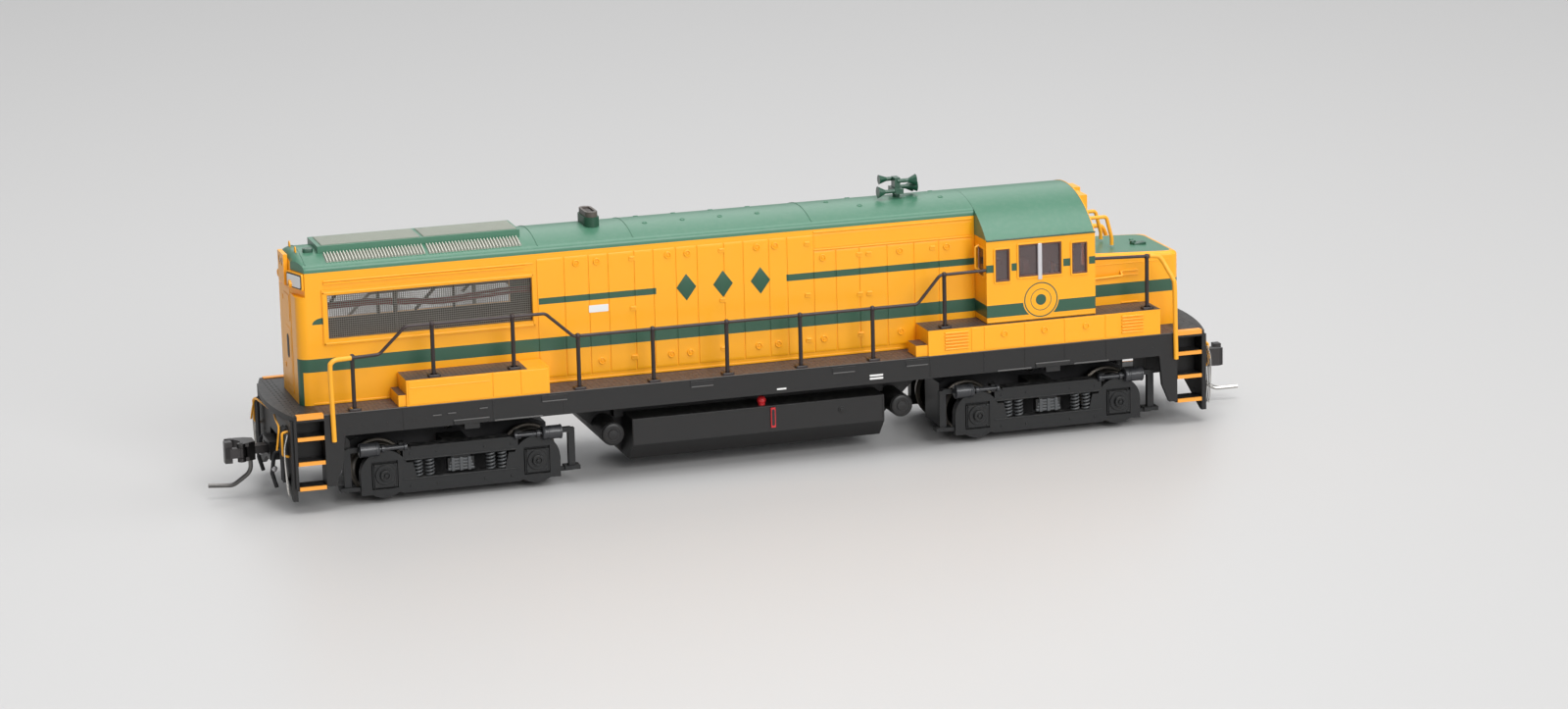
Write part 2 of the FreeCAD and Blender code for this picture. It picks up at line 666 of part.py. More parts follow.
# ---- fuel tank and air reservoirs ---------------------------------------------------------
def save_tank():
    body = plate_yz([
        (-tank_half_width, tank_top), (-tank_half_width, tank_fold),
        (-tank_half_width + 3.5, tank_bottom), (tank_half_width - 3.5, tank_bottom),
        (tank_half_width, tank_fold), (tank_half_width, tank_top),
    ], -tank_front, tank_front)
    neck = box(-tank_front - 2, tank_front + 2, -8.0, 8.0, tank_top - 1, chassis_bottom - seat_gap)
    wedges = []
    for side in (-1, 1):
        wedges.append(plate_xz([
            (side * tank_front, tank_bottom + 0.5), (side * (tank_front + 11.0), tank_top + 1.5),
            (side * tank_front, tank_top + 1.5),
        ], -6.0, 6.0))
    well = box(-motor_half_length - 0.2, motor_half_length + 0.2, -motor_half_width - seat_gap,
               motor_half_width + seat_gap, worm_z - motor_radius - 0.4, deck_top)
    channel = flywheel_radius + 0.5
    flywheel_well = box(-flywheel_end - 0.5, flywheel_end + 0.5, -channel, channel,
                        worm_z - channel, deck_top)
    reservoir_x = tank_front + reservoir_gap
    reservoir_z = tank_top - 2.9
    shape = join([body, neck] + wedges).cut([well, flywheel_well])
    for side in (-1, 1):
        x = side * reservoir_x
        shape = shape.cut(rod(reservoir_radius + seat_gap, vec(x, -20, reservoir_z),
                              vec(x, 20, reservoir_z)))
    save("fuel_tank", shape.Solids)

    reservoirs = []
    for side in (-1, 1):
        x = side * reservoir_x
        body = rod(reservoir_radius, vec(x, -tank_half_width + 0.8, reservoir_z),
                   vec(x, tank_half_width - 0.8, reservoir_z))
        caps = [rod(reservoir_radius - 0.5, vec(x, end * (tank_half_width - 1), reservoir_z),
                    vec(x, end * (tank_half_width - 0.4), reservoir_z)) for end in (-1, 1)]
        reservoirs.append(join([body] + caps))
    save("air_reservoirs", reservoirs)

    fittings = []
    for side in (-1, 1):
        cap_y = side * (tank_half_width - 1.5)
        fittings.append(rod(0.75, vec(0.95 * side * -1, cap_y, tank_top),
                            vec(0.95 * side * -1, cap_y, tank_top + 1.3)))
        gauge_x = 2.9 * side * -1
        face = sorted((side * tank_half_width, side * (tank_half_width + 0.35)))
        gauge = box(gauge_x - 0.5, gauge_x + 0.5, face[0], face[1], tank_top - 4.6, tank_top - 0.4)
        fittings.append(gauge)
    save("fuel_fittings", fittings)


# ---- walkway with sills, steps and pilots -------------------------------------------------
def deck_outline(corner, bow, half_width):
    """Plan of the deck: straight sides and bowed ends."""
    edges = []
    for side in (1, -1):
        a = vec(side * corner, -side * half_width, 0)
        b = vec(side * corner, side * half_width, 0)
        edges.append(Part.Arc(a, vec(side * (corner + bow), 0, 0), b).toShape())
        edges.append(Part.LineSegment(b, vec(-side * corner, side * half_width, 0)).toShape())
    return Part.Wire(edges)


def make_end_steps():
    """Steps and half the pilot at the +X, +Y corner."""
    c = truck_centre
    outer = deck_half_width
    inner = outer - step_depth
    under = deck_top - deck_thickness
    pieces = []
    pieces.append(plate_xz([
        (c + step_inner - 4.0, sill_bottom), (c + step_inner - 3.4, sill_bottom - 6.3),
        (c + step_inner - 1.8, deck_top - 14.8), (c + step_inner, deck_top - 14.8),
        (c + step_inner, under), (c + step_inner - 4.0, under),
    ], outer - sill_thickness, outer))
    pieces.append(box(c + step_inner - 0.6, c + step_inner, inner, outer, deck_top - 14.8, under + 0.2))
    pieces.append(box(c + step_outer, c + step_outer + 0.6, inner, outer, deck_top - 14.8, under + 0.2))
    pieces.append(box(c + step_inner - 0.6, c + step_outer + 0.6, inner - 0.6, inner,
                      deck_top - 9.8, under + 0.2))
    for drop in tread_drops:
        top = deck_top - drop
        pieces.append(box(c + step_inner - 0.3, c + step_outer + 0.3, inner, outer - 0.35,
                          top - tread_thickness, top))
    return pieces


def make_pilot():
    c = truck_centre
    under = deck_top - deck_thickness + 0.2
    half = deck_half_width - 0.6
    outline = [
        (-half, under), (-half, pilot_bottom), (-half + 1.2, pilot_bottom),
        (-4.6, deck_top - 11.6), (-4.6, coupler_z + 3.1), (4.6, coupler_z + 3.1),
        (4.6, deck_top - 11.6), (half - 1.2, pilot_bottom), (half, pilot_bottom), (half, under),
    ]
    x0 = pilot_face - pilot_thickness
    plate = plate_yz(outline, x0, pilot_face)
    gaps = both_sides(plate_yz([(half - 1.4, pilot_bottom + 1.9), (half - 1.4, pilot_bottom + 5.8),
                                (half - 4.8, pilot_bottom + 3.6)], x0 - 1, x0 + 3))
    return plate.cut(gaps)


def save_walkway():
    deck = Part.Face(deck_outline(deck_corner, deck_bow, deck_half_width)).extrude(
        vec(0, 0, deck_thickness))
    deck.translate(vec(0, 0, deck_top - deck_thickness))
    well = hood_half_width - hood_wall
    opening = box(hood_rear + 3.0, nose_front - 2.0, -well, well, 0, deck_top + 1)
    sill_end = truck_centre + step_inner - 3.0
    sills = both_sides(box(-sill_end, sill_end, deck_half_width - sill_thickness, deck_half_width,
                           sill_bottom, deck_top - deck_thickness + 0.2))
    corner = make_end_steps()
    front = corner + [mirror_y(piece) for piece in corner] + [make_pilot()]
    rear = [mirror_x(piece) for piece in front]
    shape = join([deck.cut(opening)] + sills + front + rear)
    save("walkway", [shape])

    nosings = []
    step_middle = truck_centre + (step_inner + step_outer) / 2
    nosing_half = (step_outer - step_inner) / 2 - 0.1
    for drop in tread_drops:
        top = deck_top - drop
        bar = box(step_middle - nosing_half, step_middle + nosing_half, deck_half_width - 0.35,
                  deck_half_width + 0.1, top - tread_thickness, top + 0.05)
        for piece in both_sides(bar):
            nosings += [piece, mirror_x(piece)]
    plate = box(step_middle - nosing_half, step_middle + nosing_half, deck_half_width - 1.4,
                deck_half_width + 0.02, deck_top + 0.01, deck_top + 0.2)
    lip = box(step_middle - nosing_half, step_middle + nosing_half, deck_half_width + 0.01,
              deck_half_width + 0.2, deck_top - 0.7, deck_top + 0.2)
    for piece in both_sides(join([plate, lip])):
        nosings += [piece, mirror_x(piece)]
    save("step_nosings", nosings)


# ---- long hood ----------------------------------------------------------------------------
def roof_section(half_width, bottom, x0, x1, radius=roof_radius):
    """Body section under the common roof arc."""
    shoulder = roof_centre_z + math.sqrt(radius ** 2 - half_width ** 2)
    crest = roof_centre_z + radius
    edges = [
        Part.LineSegment(vec(x0, -half_width, bottom), vec(x0, half_width, bottom)).toShape(),
        Part.LineSegment(vec(x0, half_width, bottom), vec(x0, half_width, shoulder)).toShape(),
        Part.Arc(vec(x0, half_width, shoulder), vec(x0, 0, crest),
                 vec(x0, -half_width, shoulder)).toShape(),
        Part.LineSegment(vec(x0, -half_width, shoulder), vec(x0, -half_width, bottom)).toShape(),
    ]
    return Part.Face(Part.Wire(edges)).extrude(vec(x1 - x0, 0, 0))


def is_hood_shoulder(edge):
    ends = edge.Vertexes
    if len(ends) != 2:
        return False
    level = all(abs(end.Z - ends[0].Z) < 1e-6 and end.Z > deck_top + 5 for end in ends)
    along = abs(ends[0].X - ends[1].X) > 1
    return level and along and abs(abs(ends[0].Y) - hood_half_width) < 1e-6


def save_long_hood():
    w = hood_half_width
    front = cab_rear - seat_gap
    outer = roof_section(w, deck_top + 0.02, hood_rear, front)
    outer = round_edges(outer, 1.3, is_hood_shoulder)
    outer = round_edges(outer, hood_corner_radius,
                        lambda edge: is_upright(edge) and edge.Vertexes[0].X < hood_rear + 1)
    # the upper rear corners are cut back for the number boards
    cut_bottom = hood_eave - 5.0
    corner = plate_xy([(hood_rear - 1, 4.0), (hood_rear, 4.0), (hood_rear + 1.9, w + 0.2),
                       (hood_rear - 1, w + 0.2)], cut_bottom, roof_crest + 1)
    outer = outer.cut(both_sides(corner))
    inner = roof_section(w - hood_wall, deck_top - 1, hood_rear + hood_wall + 0.8, front - hood_wall,
                         roof_radius - hood_wall - 0.2)
    doorway = box(front - 5, front + 5, -w + 2.0, w - 2.0, deck_top - 1, hood_eave - 5)
    bay = box(screen_rear, screen_front, -w - 1, w + 1, screen_bottom, screen_top)
    housing = box(screen_rear - 0.5, screen_front - 0.9, -fan_housing_half_width,
                  fan_housing_half_width, roof_crest - 2.0, roof_crest + fan_housing_height)
    frames = []
    frame_outer = box(screen_rear - 1.1, screen_front + 0.5, w - 0.3, w + 0.25,
                      screen_bottom - 1.2, screen_top + 1.1)
    frames += both_sides(frame_outer)
    drip = box(screen_rear - 0.6, screen_front - 1.3, w - 0.3, w + 0.3, screen_top + 2.2, screen_top + 2.6)
    frames += both_sides(drip)
    shell = join([outer, housing] + frames).cut([inner, doorway, bay])
    save("long_hood", [shell])

    panels = []
    for sign in (-1, 1):
        y0 = sign * (w - hood_wall + 0.1)
        y1 = sign * (w - hood_wall + 0.1 + screen_thickness)
        panels.append(box(screen_rear + 0.02, screen_front - 0.02, min(y0, y1), max(y0, y1),
                          screen_bottom + 0.02, screen_top - 0.02))
    save("radiator_screens", panels)

    grilles = []
    middle = (screen_rear + screen_front) / 2
    top = roof_crest + fan_housing_height
    spans = ((screen_rear + 0.6, middle - 0.9), (middle + 0.9, screen_front - 1.6))
    for x0, x1 in spans:
        grilles.append(box(x0, x1, -fan_housing_half_width + 0.7, fan_housing_half_width - 0.7,
                           top + 0.01, top + 0.25))
        skin = roof_tube(roof_radius + 0.25, roof_radius + 0.02, x0, x1)
        for side in (-1, 1):
            span = sorted((side * (fan_housing_half_width + 0.4), side * (w - 1.3)))
            grilles.append(skin.common(box(x0, x1, span[0], span[1], hood_eave - 2, roof_crest + 2)))
    save("radiator_roof_grilles", grilles)


def roof_tube(outer, inner, x0, x1):
    """Tube about the centre line of the roof's arc."""
    start = vec(x0, 0, roof_centre_z)
    end = vec(x1, 0, roof_centre_z)
    return rod(outer, start, end).cut(rod(inner, start, end))


# ---- cab ----------------------------------------------------------------------------------
side_windows = (      # x from the cab's rear face, width, sill and head above the deck
    (2.2, 2.6, 14.4, 20.7),
    (7.3, 8.9, 15.0, 21.3),
    (19.1, 2.8, 14.7, 20.75),
)
end_windows = (       # y from the middle, width, sill and head above the deck, on both ends
    (11.0, 4.6, 15.0, 21.0),
)
windshields = ((1.0, 6.2, 18.6, 24.4),)


def window_cutters():
    """Boxes through the walls, and the pane that fills each."""
    cutters = []
    panes = []
    inset = 0.35
    for start, width, sill, head in side_windows:
        x0 = cab_rear + start
        z0 = deck_top + sill
        z1 = deck_top + head
        cut = box(x0, x0 + width, cab_half_width - cab_wall - 1, cab_half_width + 1, z0, z1)
        pane = box(x0 + 0.02, x0 + width - 0.02, cab_half_width - inset - glass_thickness,
                   cab_half_width - inset, z0 + 0.02, z1 - 0.02)
        cutters += both_sides(cut)
        panes += both_sides(pane)
    for face, outward in ((cab_rear, -1), (cab_front, 1)):
        openings = end_windows + (windshields if outward > 0 else ())
        for start, width, sill, head in openings:
            z0 = deck_top + sill
            z1 = deck_top + head
            cut = box(face - 2, face + 2, start, start + width, z0, z1)
            ends = sorted((face - outward * inset, face - outward * (inset + glass_thickness)))
            pane = box(ends[0], ends[1], start + 0.02, start + width - 0.02, z0 + 0.02, z1 - 0.02)
            cutters += both_sides(cut)
            panes += both_sides(pane)
    return cutters, panes


def save_cab():
    bottom = box_top + 0.1
    outer = roof_section(cab_half_width, bottom, cab_rear, cab_front)
    foot = box(cab_rear, cab_front, -hood_half_width + 0.05, hood_half_width - 0.05,
               deck_top + 0.02, bottom + 0.5)
    inner = roof_section(cab_half_width - cab_wall, bottom + cab_wall, cab_rear + cab_wall,
                         cab_front - cab_wall, roof_radius - cab_wall)
    well = hood_half_width - hood_wall
    shaft = box(cab_rear + cab_wall, cab_front - cab_wall, -well, well, deck_top - 1, bottom + 3)
    rear_way = box(cab_rear - 1, cab_rear + 2, -well + 1, well - 1, deck_top - 1, cab_eave - 4)
    front_way = box(cab_front - 2, cab_front + 1, -well + 1, well - 1, deck_top - 1, deck_top + 12)
    cutters, panes = window_cutters()
    shell = join([outer, foot]).cut([inner, shaft, rear_way, front_way] + cutters)
    save("cab", [shell])
    save("cab_glazing", panes)


def save_nose():
    w = hood_half_width
    back = cab_front + seat_gap
    bottom = deck_top + 0.02
    crown = 0.9
    outer = plate_yz([(-w, bottom), (w, bottom), (w, nose_top + 2), (-w, nose_top + 2)], back, nose_front)
    fall = plate_xz([(back - 1, nose_top + 5), (nose_front + 1, nose_top + 5),
                     (nose_front + 1, nose_top - nose_fall), (back - 1, nose_top)], -w - 1, w + 1)
    outer = outer.cut(fall)
    outer = round_edges(outer, 1.8, lambda edge: is_upright(edge) and edge.Vertexes[0].X > nose_front - 1)

    def front_top(edge):
        box_of = edge.BoundBox
        return box_of.ZMin > nose_top - nose_fall - 0.5 and box_of.XMin > nose_front - 0.5

    def side_top(edge):
        box_of = edge.BoundBox
        return (box_of.ZMin > nose_top - nose_fall - 0.6 and box_of.XLength > 10
                and abs(abs(box_of.YMin) - w) < 0.01)

    outer = outer.makeFillet(crown, [edge for edge in outer.Edges if side_top(edge) or front_top(edge)])
    inner = box(back + 0.01, nose_front - 1.2, -w + hood_wall, w - hood_wall, bottom - 1,
                nose_top - nose_fall - 1.3)
    save("nose", [outer.cut(inner)])


# ---- side boxes ---------------------------------------------------------------------------
def save_side_boxes():
    inner = hood_half_width + seat_gap
    outer = deck_half_width - 0.05
    bottom = deck_top + 0.02
    rear_box = box(rear_box_back, rear_box_front, inner + 0.3, outer, bottom, box_top)
    block = box(rear_box_back - step_block_length, rear_box_back, inner + 0.3, outer - 0.4,
                bottom, deck_top + 2.4)
    front_end = truck_centre + front_box_beyond_truck
    front_box = box(front_end - front_box_length, front_end, inner, outer, bottom, box_top)
    front_block = box(front_end - front_box_length - front_block_length, front_end - front_box_length,
                      inner + 2.5, outer - 0.4, bottom, deck_top + 2.4)
    left = [join([rear_box, block]), join([front_box, front_block])]
    save("side_boxes_left", left)
    save("side_boxes_right", [mirror_y(piece) for piece in left])


# ---- handrails ----------------------------------------------------------------------------
def stanchion(x, foot_z, top_z, sleeve):
    """A post with its foot, and a round head bored for the rail."""
    foot = foot_z + 0.02
    post = rod(rail_radius, vec(x, rail_offset, foot), vec(x, rail_offset, top_z))
    base = box(x - 0.7, x + 0.7, rail_offset - 0.6, rail_offset + 0.6, foot, foot_z + 0.5)
    head = Part.makeSphere(rail_head_radius, vec(x, rail_offset, top_z))
    return join([post, base, head]).cut(sleeve)


def save_handrails():
    low = deck_top + rail_height
    high = box_top + rail_height
    rear_post = -(truck_centre + 26.2)
    front_post = truck_centre + step_inner - 0.4
    foot = deck_top - 5.6
    y = rail_offset
    side_y = deck_half_width + rail_radius + seat_gap
    rear_line = [
        vec(rear_post, side_y, foot), vec(rear_post - 0.2, side_y, low), vec(screen_rear + 8.7, y, low),
        vec(screen_rear + 14.2, y, high - 0.2), vec(screen_front + 0.9, y, high - 0.2),
        vec(screen_front + 6.6, y, low), vec(cab_rear - 15.0, y, low), vec(cab_rear - 10.0, y, high + 0.3),
        vec(cab_rear - 0.02, y, high + 0.4),
    ]
    front_line = [
        vec(front_post, side_y, foot), vec(front_post - 0.3, side_y, low),
        vec(front_post - 2.8, y, high + 0.2), vec(cab_front + 0.02, y, high + 0.8),
    ]
    rear_sleeve = bent_rod(rear_line, rail_radius + seat_gap, 1.5)
    front_sleeve = bent_rod(front_line, rail_radius + seat_gap, 1.0)
    left = [bent_rod(rear_line, rail_radius, 1.5), bent_rod(front_line, rail_radius, 1.0)]
    first = screen_front + first_middle_post
    spacing = (cab_rear - last_middle_post - first) / (middle_posts - 1)
    left.append(stanchion(hood_rear + rear_end_post, deck_top, low, rear_sleeve))
    for index in range(middle_posts):
        left.append(stanchion(first + spacing * index, deck_top, low, rear_sleeve))
    for x in (rear_box_back + box_post_inset[0], rear_box_front - box_post_inset[1]):
        left.append(stanchion(x, box_top, high - 0.2, rear_sleeve))
    left.append(stanchion(cab_rear - 9.1, box_top, high + 0.3, rear_sleeve))
    left.append(stanchion(truck_centre + 21.8, box_top, high + 0.25, front_sleeve))
    save("handrail_left", left)
    save("handrail_right", [mirror_y(piece) for piece in left])


# ---- roof fittings ------------------------------------------------------------------------
def save_exhaust_stack():
    x = cab_rear - stack_behind_cab
    half = 3.9
    base_z = roof_crest - 1.2
    slab = box(x - 1.6, x + 1.6, -half + 1.6, half - 1.6, base_z, roof_crest + 1.7)
    ends = [rod(1.6, vec(x, side * (half - 1.6), base_z), vec(x, side * (half - 1.6), roof_crest + 1.7))
            for side in (-1, 1)]
    cap = box(x - 1.3, x + 1.3, -half + 1.6, half - 1.6, roof_crest + 1.6, roof_crest + 2.8)
    cap_ends = [rod(1.3, vec(x, side * (half - 1.6), roof_crest + 1.6),
                    vec(x, side * (half - 1.6), roof_crest + 2.8)) for side in (-1, 1)]
    stack = join([slab, cap] + ends + cap_ends)
    slot = box(x - 0.8, x + 0.8, -half + 1.4, half - 1.4, roof_crest + 0.6, roof_crest + 4)
    save("exhaust_stack", [stack.cut([slot, roof_body()])])


def roof_body():
    """The hood under its roof, a little oversize, to cut the feet of what stands on it."""
    return roof_section(hood_half_width, deck_top + 5, hood_rear, cab_front, roof_radius + 0.03)


def bell(x0, x1, y, z, mouth):
    direction = 1 if x1 > x0 else -1
    flare = x1 - direction * 1.6
    return [rod(0.42, vec(x0, y, z), vec(flare, y, z)),
            cone(0.42, mouth, vec(flare - direction * 0.01, y, z), vec(x1, y, z))]


def save_horn():
    x = cab_rear - horn_behind_cab
    crest = roof_crest
    pieces = [
        rod(0.75, vec(x, 0, crest - 0.6), vec(x, 0, crest + 1.6)),
        box(x - 0.9, x + 0.9, -2.4, 2.4, crest + 0.9, crest + 1.9),
        box(x - 0.6, x + 0.6, -1.2, 1.2, crest + 1.8, crest + 4.1),
    ]
    pieces += bell(x, x - 4.6, -1.9, crest + 1.5, 1.25)
    pieces += bell(x, x - 3.4, 1.0, crest + 3.6, 1.0)
    pieces += bell(x, x + 4.0, -1.0, crest + 3.4, 1.2)
    pieces += bell(x, x + 4.6, 0.3, crest + 1.9, 1.25)
    pieces += bell(x, x + 4.2, 1.9, crest + 1.5, 1.15)
    save("horn", [join(pieces).cut(roof_body())])


def save_lights():
    crest = roof_crest
    w = hood_half_width
    front = cab_front + seat_gap
    housing = box(front, front + 1.6, -8.4, 8.4, cab_eave + 1.6, crest - 1.4)
    housing = housing.fuse(box(front, front + 2.4, -2.3, 2.3, cab_eave + 2.4, crest - 0.9))
    lens_holes = []
    lenses = []
    for side in (-1, 1):
        lens_holes.append(rod(0.9, vec(front + 1.4, side * 1.1, cab_eave + 4.5),
                              vec(front + 3, side * 1.1, cab_eave + 4.5)))
        lenses.append(rod(0.85, vec(front + 1.6, side * 1.1, cab_eave + 4.5),
                          vec(front + 2.3, side * 1.1, cab_eave + 4.5)))
    rear = hood_rear
    rear_housing = box(rear - 0.9, rear - seat_gap, -2.9, 2.9, hood_eave - 3.6, crest - 0.6)
    for side in (-1, 1):
        lens_holes.append(rod(0.9, vec(rear - 2, side * 1.2, hood_eave + 0.9),
                              vec(rear - 0.3, side * 1.2, hood_eave + 0.9)))
        lenses.append(rod(0.85, vec(rear - 0.8, side * 1.2, hood_eave + 0.9),
                          vec(rear - 0.4, side * 1.2, hood_eave + 0.9)))
    # number boards on the cut-back rear corners
    slope = 1.9 / (w + 0.2 - 4.0)
    boards = both_sides(plate_xy([
        (rear + slope * 0.3 - 0.35, 4.3), (rear + slope * 0.3 - 0.05, 4.3),
        (rear + slope * 5.4 - 0.05, 9.4), (rear + slope * 5.4 - 0.35, 9.4),
    ], hood_eave - 3.8, hood_eave - 0.4))
    housings = [housing.cut(lens_holes), rear_housing.cut(lens_holes)] + boards
    save("headlight_housings", housings)
    save("headlight_lenses", lenses)


def save_grab_irons():
    w = hood_half_width
    irons = []
    for side in (-1, 1):
        # over the nose, from the cab's front
        y = side * 3.2
        rail_x = cab_front + 7.9
        irons.append(grab_iron([
            (cab_front + 0.02, y, nose_top + 6.2), (rail_x, y, nose_top + 6.2),
            (rail_x + 1.2, y, nose_top + 1.5), (rail_x + 1.2, y, nose_top + 0.02),
        ], 0.4, 0.8))
        # on the side of the nose
        x = cab_front + 1.2
        near = side * (w + 0.2)
        far = side * (w + 1.1)
        irons.append(grab_iron([
            (x, near, deck_top + 12.2), (x, far, deck_top + 11.4),
            (x + 7.2, far, deck_top + 11.6), (x + 7.2, near, deck_top + 12.4),
        ], 0.22, 0.35))
        # on the cab's rear wall
        y = side * 13.2
        x = cab_rear - 0.15
        irons.append(grab_iron([
            (x, y, deck_top + 21.4), (x - 0.9, y, deck_top + 21.0),
            (x - 0.9, y, deck_top + 16.6), (x, y, deck_top + 16.2),
        ], 0.22, 0.3))
        # on the pilot, both ends of this side
        for end in (-1, 1):
            y = end * 15.2
            near = side * (pilot_face + 0.1)
            far = side * (pilot_face + 1.3)
            irons.append(grab_iron([
                (near, y, deck_top - 3.4), (far, y, deck_top - 3.6),
                (far, y, deck_top - 8.2), (near, y, deck_top - 8.6),
            ], 0.25, 0.5))
    save("grab_irons", irons)


def save_hoses():
    """An air hose beside each coupler and three pipes at each corner of both pilots."""
    hoses = []
    for end in (-1, 1):
        for side in (-1, 1):
            y = side * 7.2
            hoses.append(bent_rod([
                vec(end * (pilot_face + 0.2), y, coupler_z + 1.0),
                vec(end * (pilot_face + 1.6), y, coupler_z + 0.4),
                vec(end * (pilot_face + 2.2), y, coupler_z - 3.6),
                vec(end * (pilot_face + 1.4), y, coupler_z - 6.6),
            ], 0.42, 1.0))
            for step in range(3):
                y = side * (12.0 + step)
                hoses.append(bent_rod([
                    vec(end * (pilot_face + 0.2), y, deck_top - 3.0),
                    vec(end * (pilot_face + 1.0), y, deck_top - 3.4),
                    vec(end * (pilot_face + 1.0), y, deck_top - 14.0),
                ], 0.32, 0.6))
    save("pilot_hoses", hoses)


# ---- couplers -----------------------------------------------------------------------------
def save_couplers():
    c = truck_centre
    pivot = c + coupler_pivot
    box_front = c + 36.6
    draft = box(pivot - 3.0, box_front, -3.6, 3.6, coupler_z - 1.9, coupler_z + 1.9)
    pocket_half = shank_half_width + 1.4
    pocket = box(pivot - 1.9, box_front + 1, -pocket_half, pocket_half,
                 coupler_z - shank_half_height - 0.15, coupler_z + shank_half_height + 0.15)
    pin = rod(coupler_pin_radius, vec(pivot, 0, coupler_z - 1.5), vec(pivot, 0, coupler_z + 1.5))
    hanger = box(pivot - 3.0, pivot + 3.0, -2.4, 2.4, coupler_z + 1.85, chassis_bottom - seat_gap)
    draft = join([draft.cut(pocket), pin, hanger])
    save("coupler_boxes", [draft, turned(draft)])

    face = c + coupler_face
    shank = join([
        rod(1.7, vec(pivot, 0, coupler_z - shank_half_height),
            vec(pivot, 0, coupler_z + shank_half_height)),
        box(pivot, face - 5.8, -shank_half_width, shank_half_width,
            coupler_z - shank_half_height, coupler_z + shank_half_height),
        plate_xy([(face - 6.2, -1.6), (face - 4.6, -2.5), (face - 1.6, -2.9), (face - 0.6, -2.4),
                  (face - 2.4, -1.2), (face - 3.4, 0.4), (face - 3.2, 1.2), (face - 4.6, 2.3),
                  (face - 6.2, 1.6)], coupler_z - 1.9, coupler_z + 1.9),
    ])
    bore = rod(coupler_pin_radius + running_clearance, vec(pivot, 0, 0), vec(pivot, 0, 20))
    hinge_x = face - 3.3
    hinge_y = 2.2
    pocket = rod(1.15, vec(hinge_x, hinge_y, coupler_z - 1.0), vec(hinge_x, hinge_y, coupler_z + 1.0))
    ear_levels = ((coupler_z - 1.9, coupler_z - 1.1), (coupler_z + 1.1, coupler_z + 1.9))
    ears = [rod(0.85, vec(hinge_x, hinge_y, low), vec(hinge_x, hinge_y, high))
            for low, high in ear_levels]
    bridge = [box(hinge_x - 1.5, hinge_x, 0.9, 2.4, low, high) for low, high in ear_levels]
    head = join([shank] + ears + bridge).cut([bore, pocket])
    pin_bore = rod(0.4, vec(hinge_x, hinge_y, coupler_z - 3), vec(hinge_x, hinge_y, coupler_z + 3))
    head = head.cut(pin_bore)
    save("front_coupler", [head])
    save("rear_coupler", [turned(head)])

    knuckle_pin = rod(0.34, vec(hinge_x, hinge_y, coupler_z - 2.0), vec(hinge_x, hinge_y, coupler_z + 2.0))
    barrel = rod(0.8, vec(hinge_x, hinge_y, coupler_z - 1.0), vec(hinge_x, hinge_y, coupler_z + 1.0))
    arm = plate_xy([(hinge_x - 0.2, hinge_y - 0.5), (hinge_x + 0.4, hinge_y + 0.7),
                    (face - 0.9, hinge_y + 0.7), (face, hinge_y - 0.4), (face, hinge_y - 2.2),
                    (face - 1.5, hinge_y - 2.2), (face - 1.7, hinge_y - 0.8)],
                   coupler_z - 1.0, coupler_z + 1.0)
    jaw = box(face - 1.5, face, hinge_y - 2.2, hinge_y - 0.3, coupler_z - 2.2, coupler_z + 2.2)
    knuckle = join([knuckle_pin, barrel, arm, jaw])
    save("front_knuckle", [knuckle])
    save("rear_knuckle", [turned(knuckle)])

    root = face - 5.4
    pin = bent_rod([vec(root, 0, coupler_z - 1.92), vec(root, 0, 5.2), vec(root + 3.6, -0.6, 2.5),
                    vec(root + 8.6, -1.4, 2.7)], trip_pin_radius, 2.6)
    save("front_trip_pin", [pin])
    save("rear_trip_pin", [turned(pin)])


# ---- electrical parts and screws ----------------------------------------------------------
def save_electrics():
    board_z = worm_z + 12.6
    board_end = 36.0
    board = box(2 - board_end, board_end, -7.0, 7.0, board_z, board_z + 0.8)
    chip = box(-8.0, 8.0, -4.0, 4.0, board_z + 0.75, board_z + 2.4)
    plug = box(16.0, 28.0, -4.5, 4.5, board_z + 0.75, board_z + 3.2)
    save("circuit_board", [join([board, chip, plug])])
    start = 3 - board_end
    high = board_z + 1.5
    end = hood_rear + 2.4
    run = (start - end) / 4
    wires = []
    for y in (-1.2, 1.2):
        wires.append(bent_rod([
            vec(start, y, board_z + 0.82), vec(start, y, high + 2.0),
            vec(start - run, y * 1.5, high + 2.6), vec(start - 2 * run, y * 1.2, high + 1.6),
            vec(start - 3 * run, y * 1.4, high + 2.8), vec(end, y, high + 2.6),
        ], 0.35, 1.0))
    save("lamp_leads", wires)


def save_screws():
    screws = []
    for x in (-truck_centre - 18.0, truck_centre + 18.0):
        for y in (-5.0, 5.0):
            head = rod(1.2, vec(x, y, chassis_bottom - 0.9), vec(x, y, chassis_bottom - 0.02))
            slot = box(x - 1.3, x + 1.3, y - 0.15, y + 0.15, chassis_bottom - 1.0, chassis_bottom - 0.6)
            screws.append(head.cut(slot))
    save("shell_screws", screws)


os.makedirs("parts", exist_ok=True)
save_trucks()
save_motor()
save_chassis()
save_tank()
save_walkway()
save_long_hood()
save_cab()
save_nose()
save_side_boxes()
save_handrails()
save_exhaust_stack()
save_horn()
save_lights()
save_grab_irons()
save_hoses()
save_couplers()
save_electrics()
save_screws()
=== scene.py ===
import math

import bpy
import numpy as np
from mathutils import Matrix, Vector


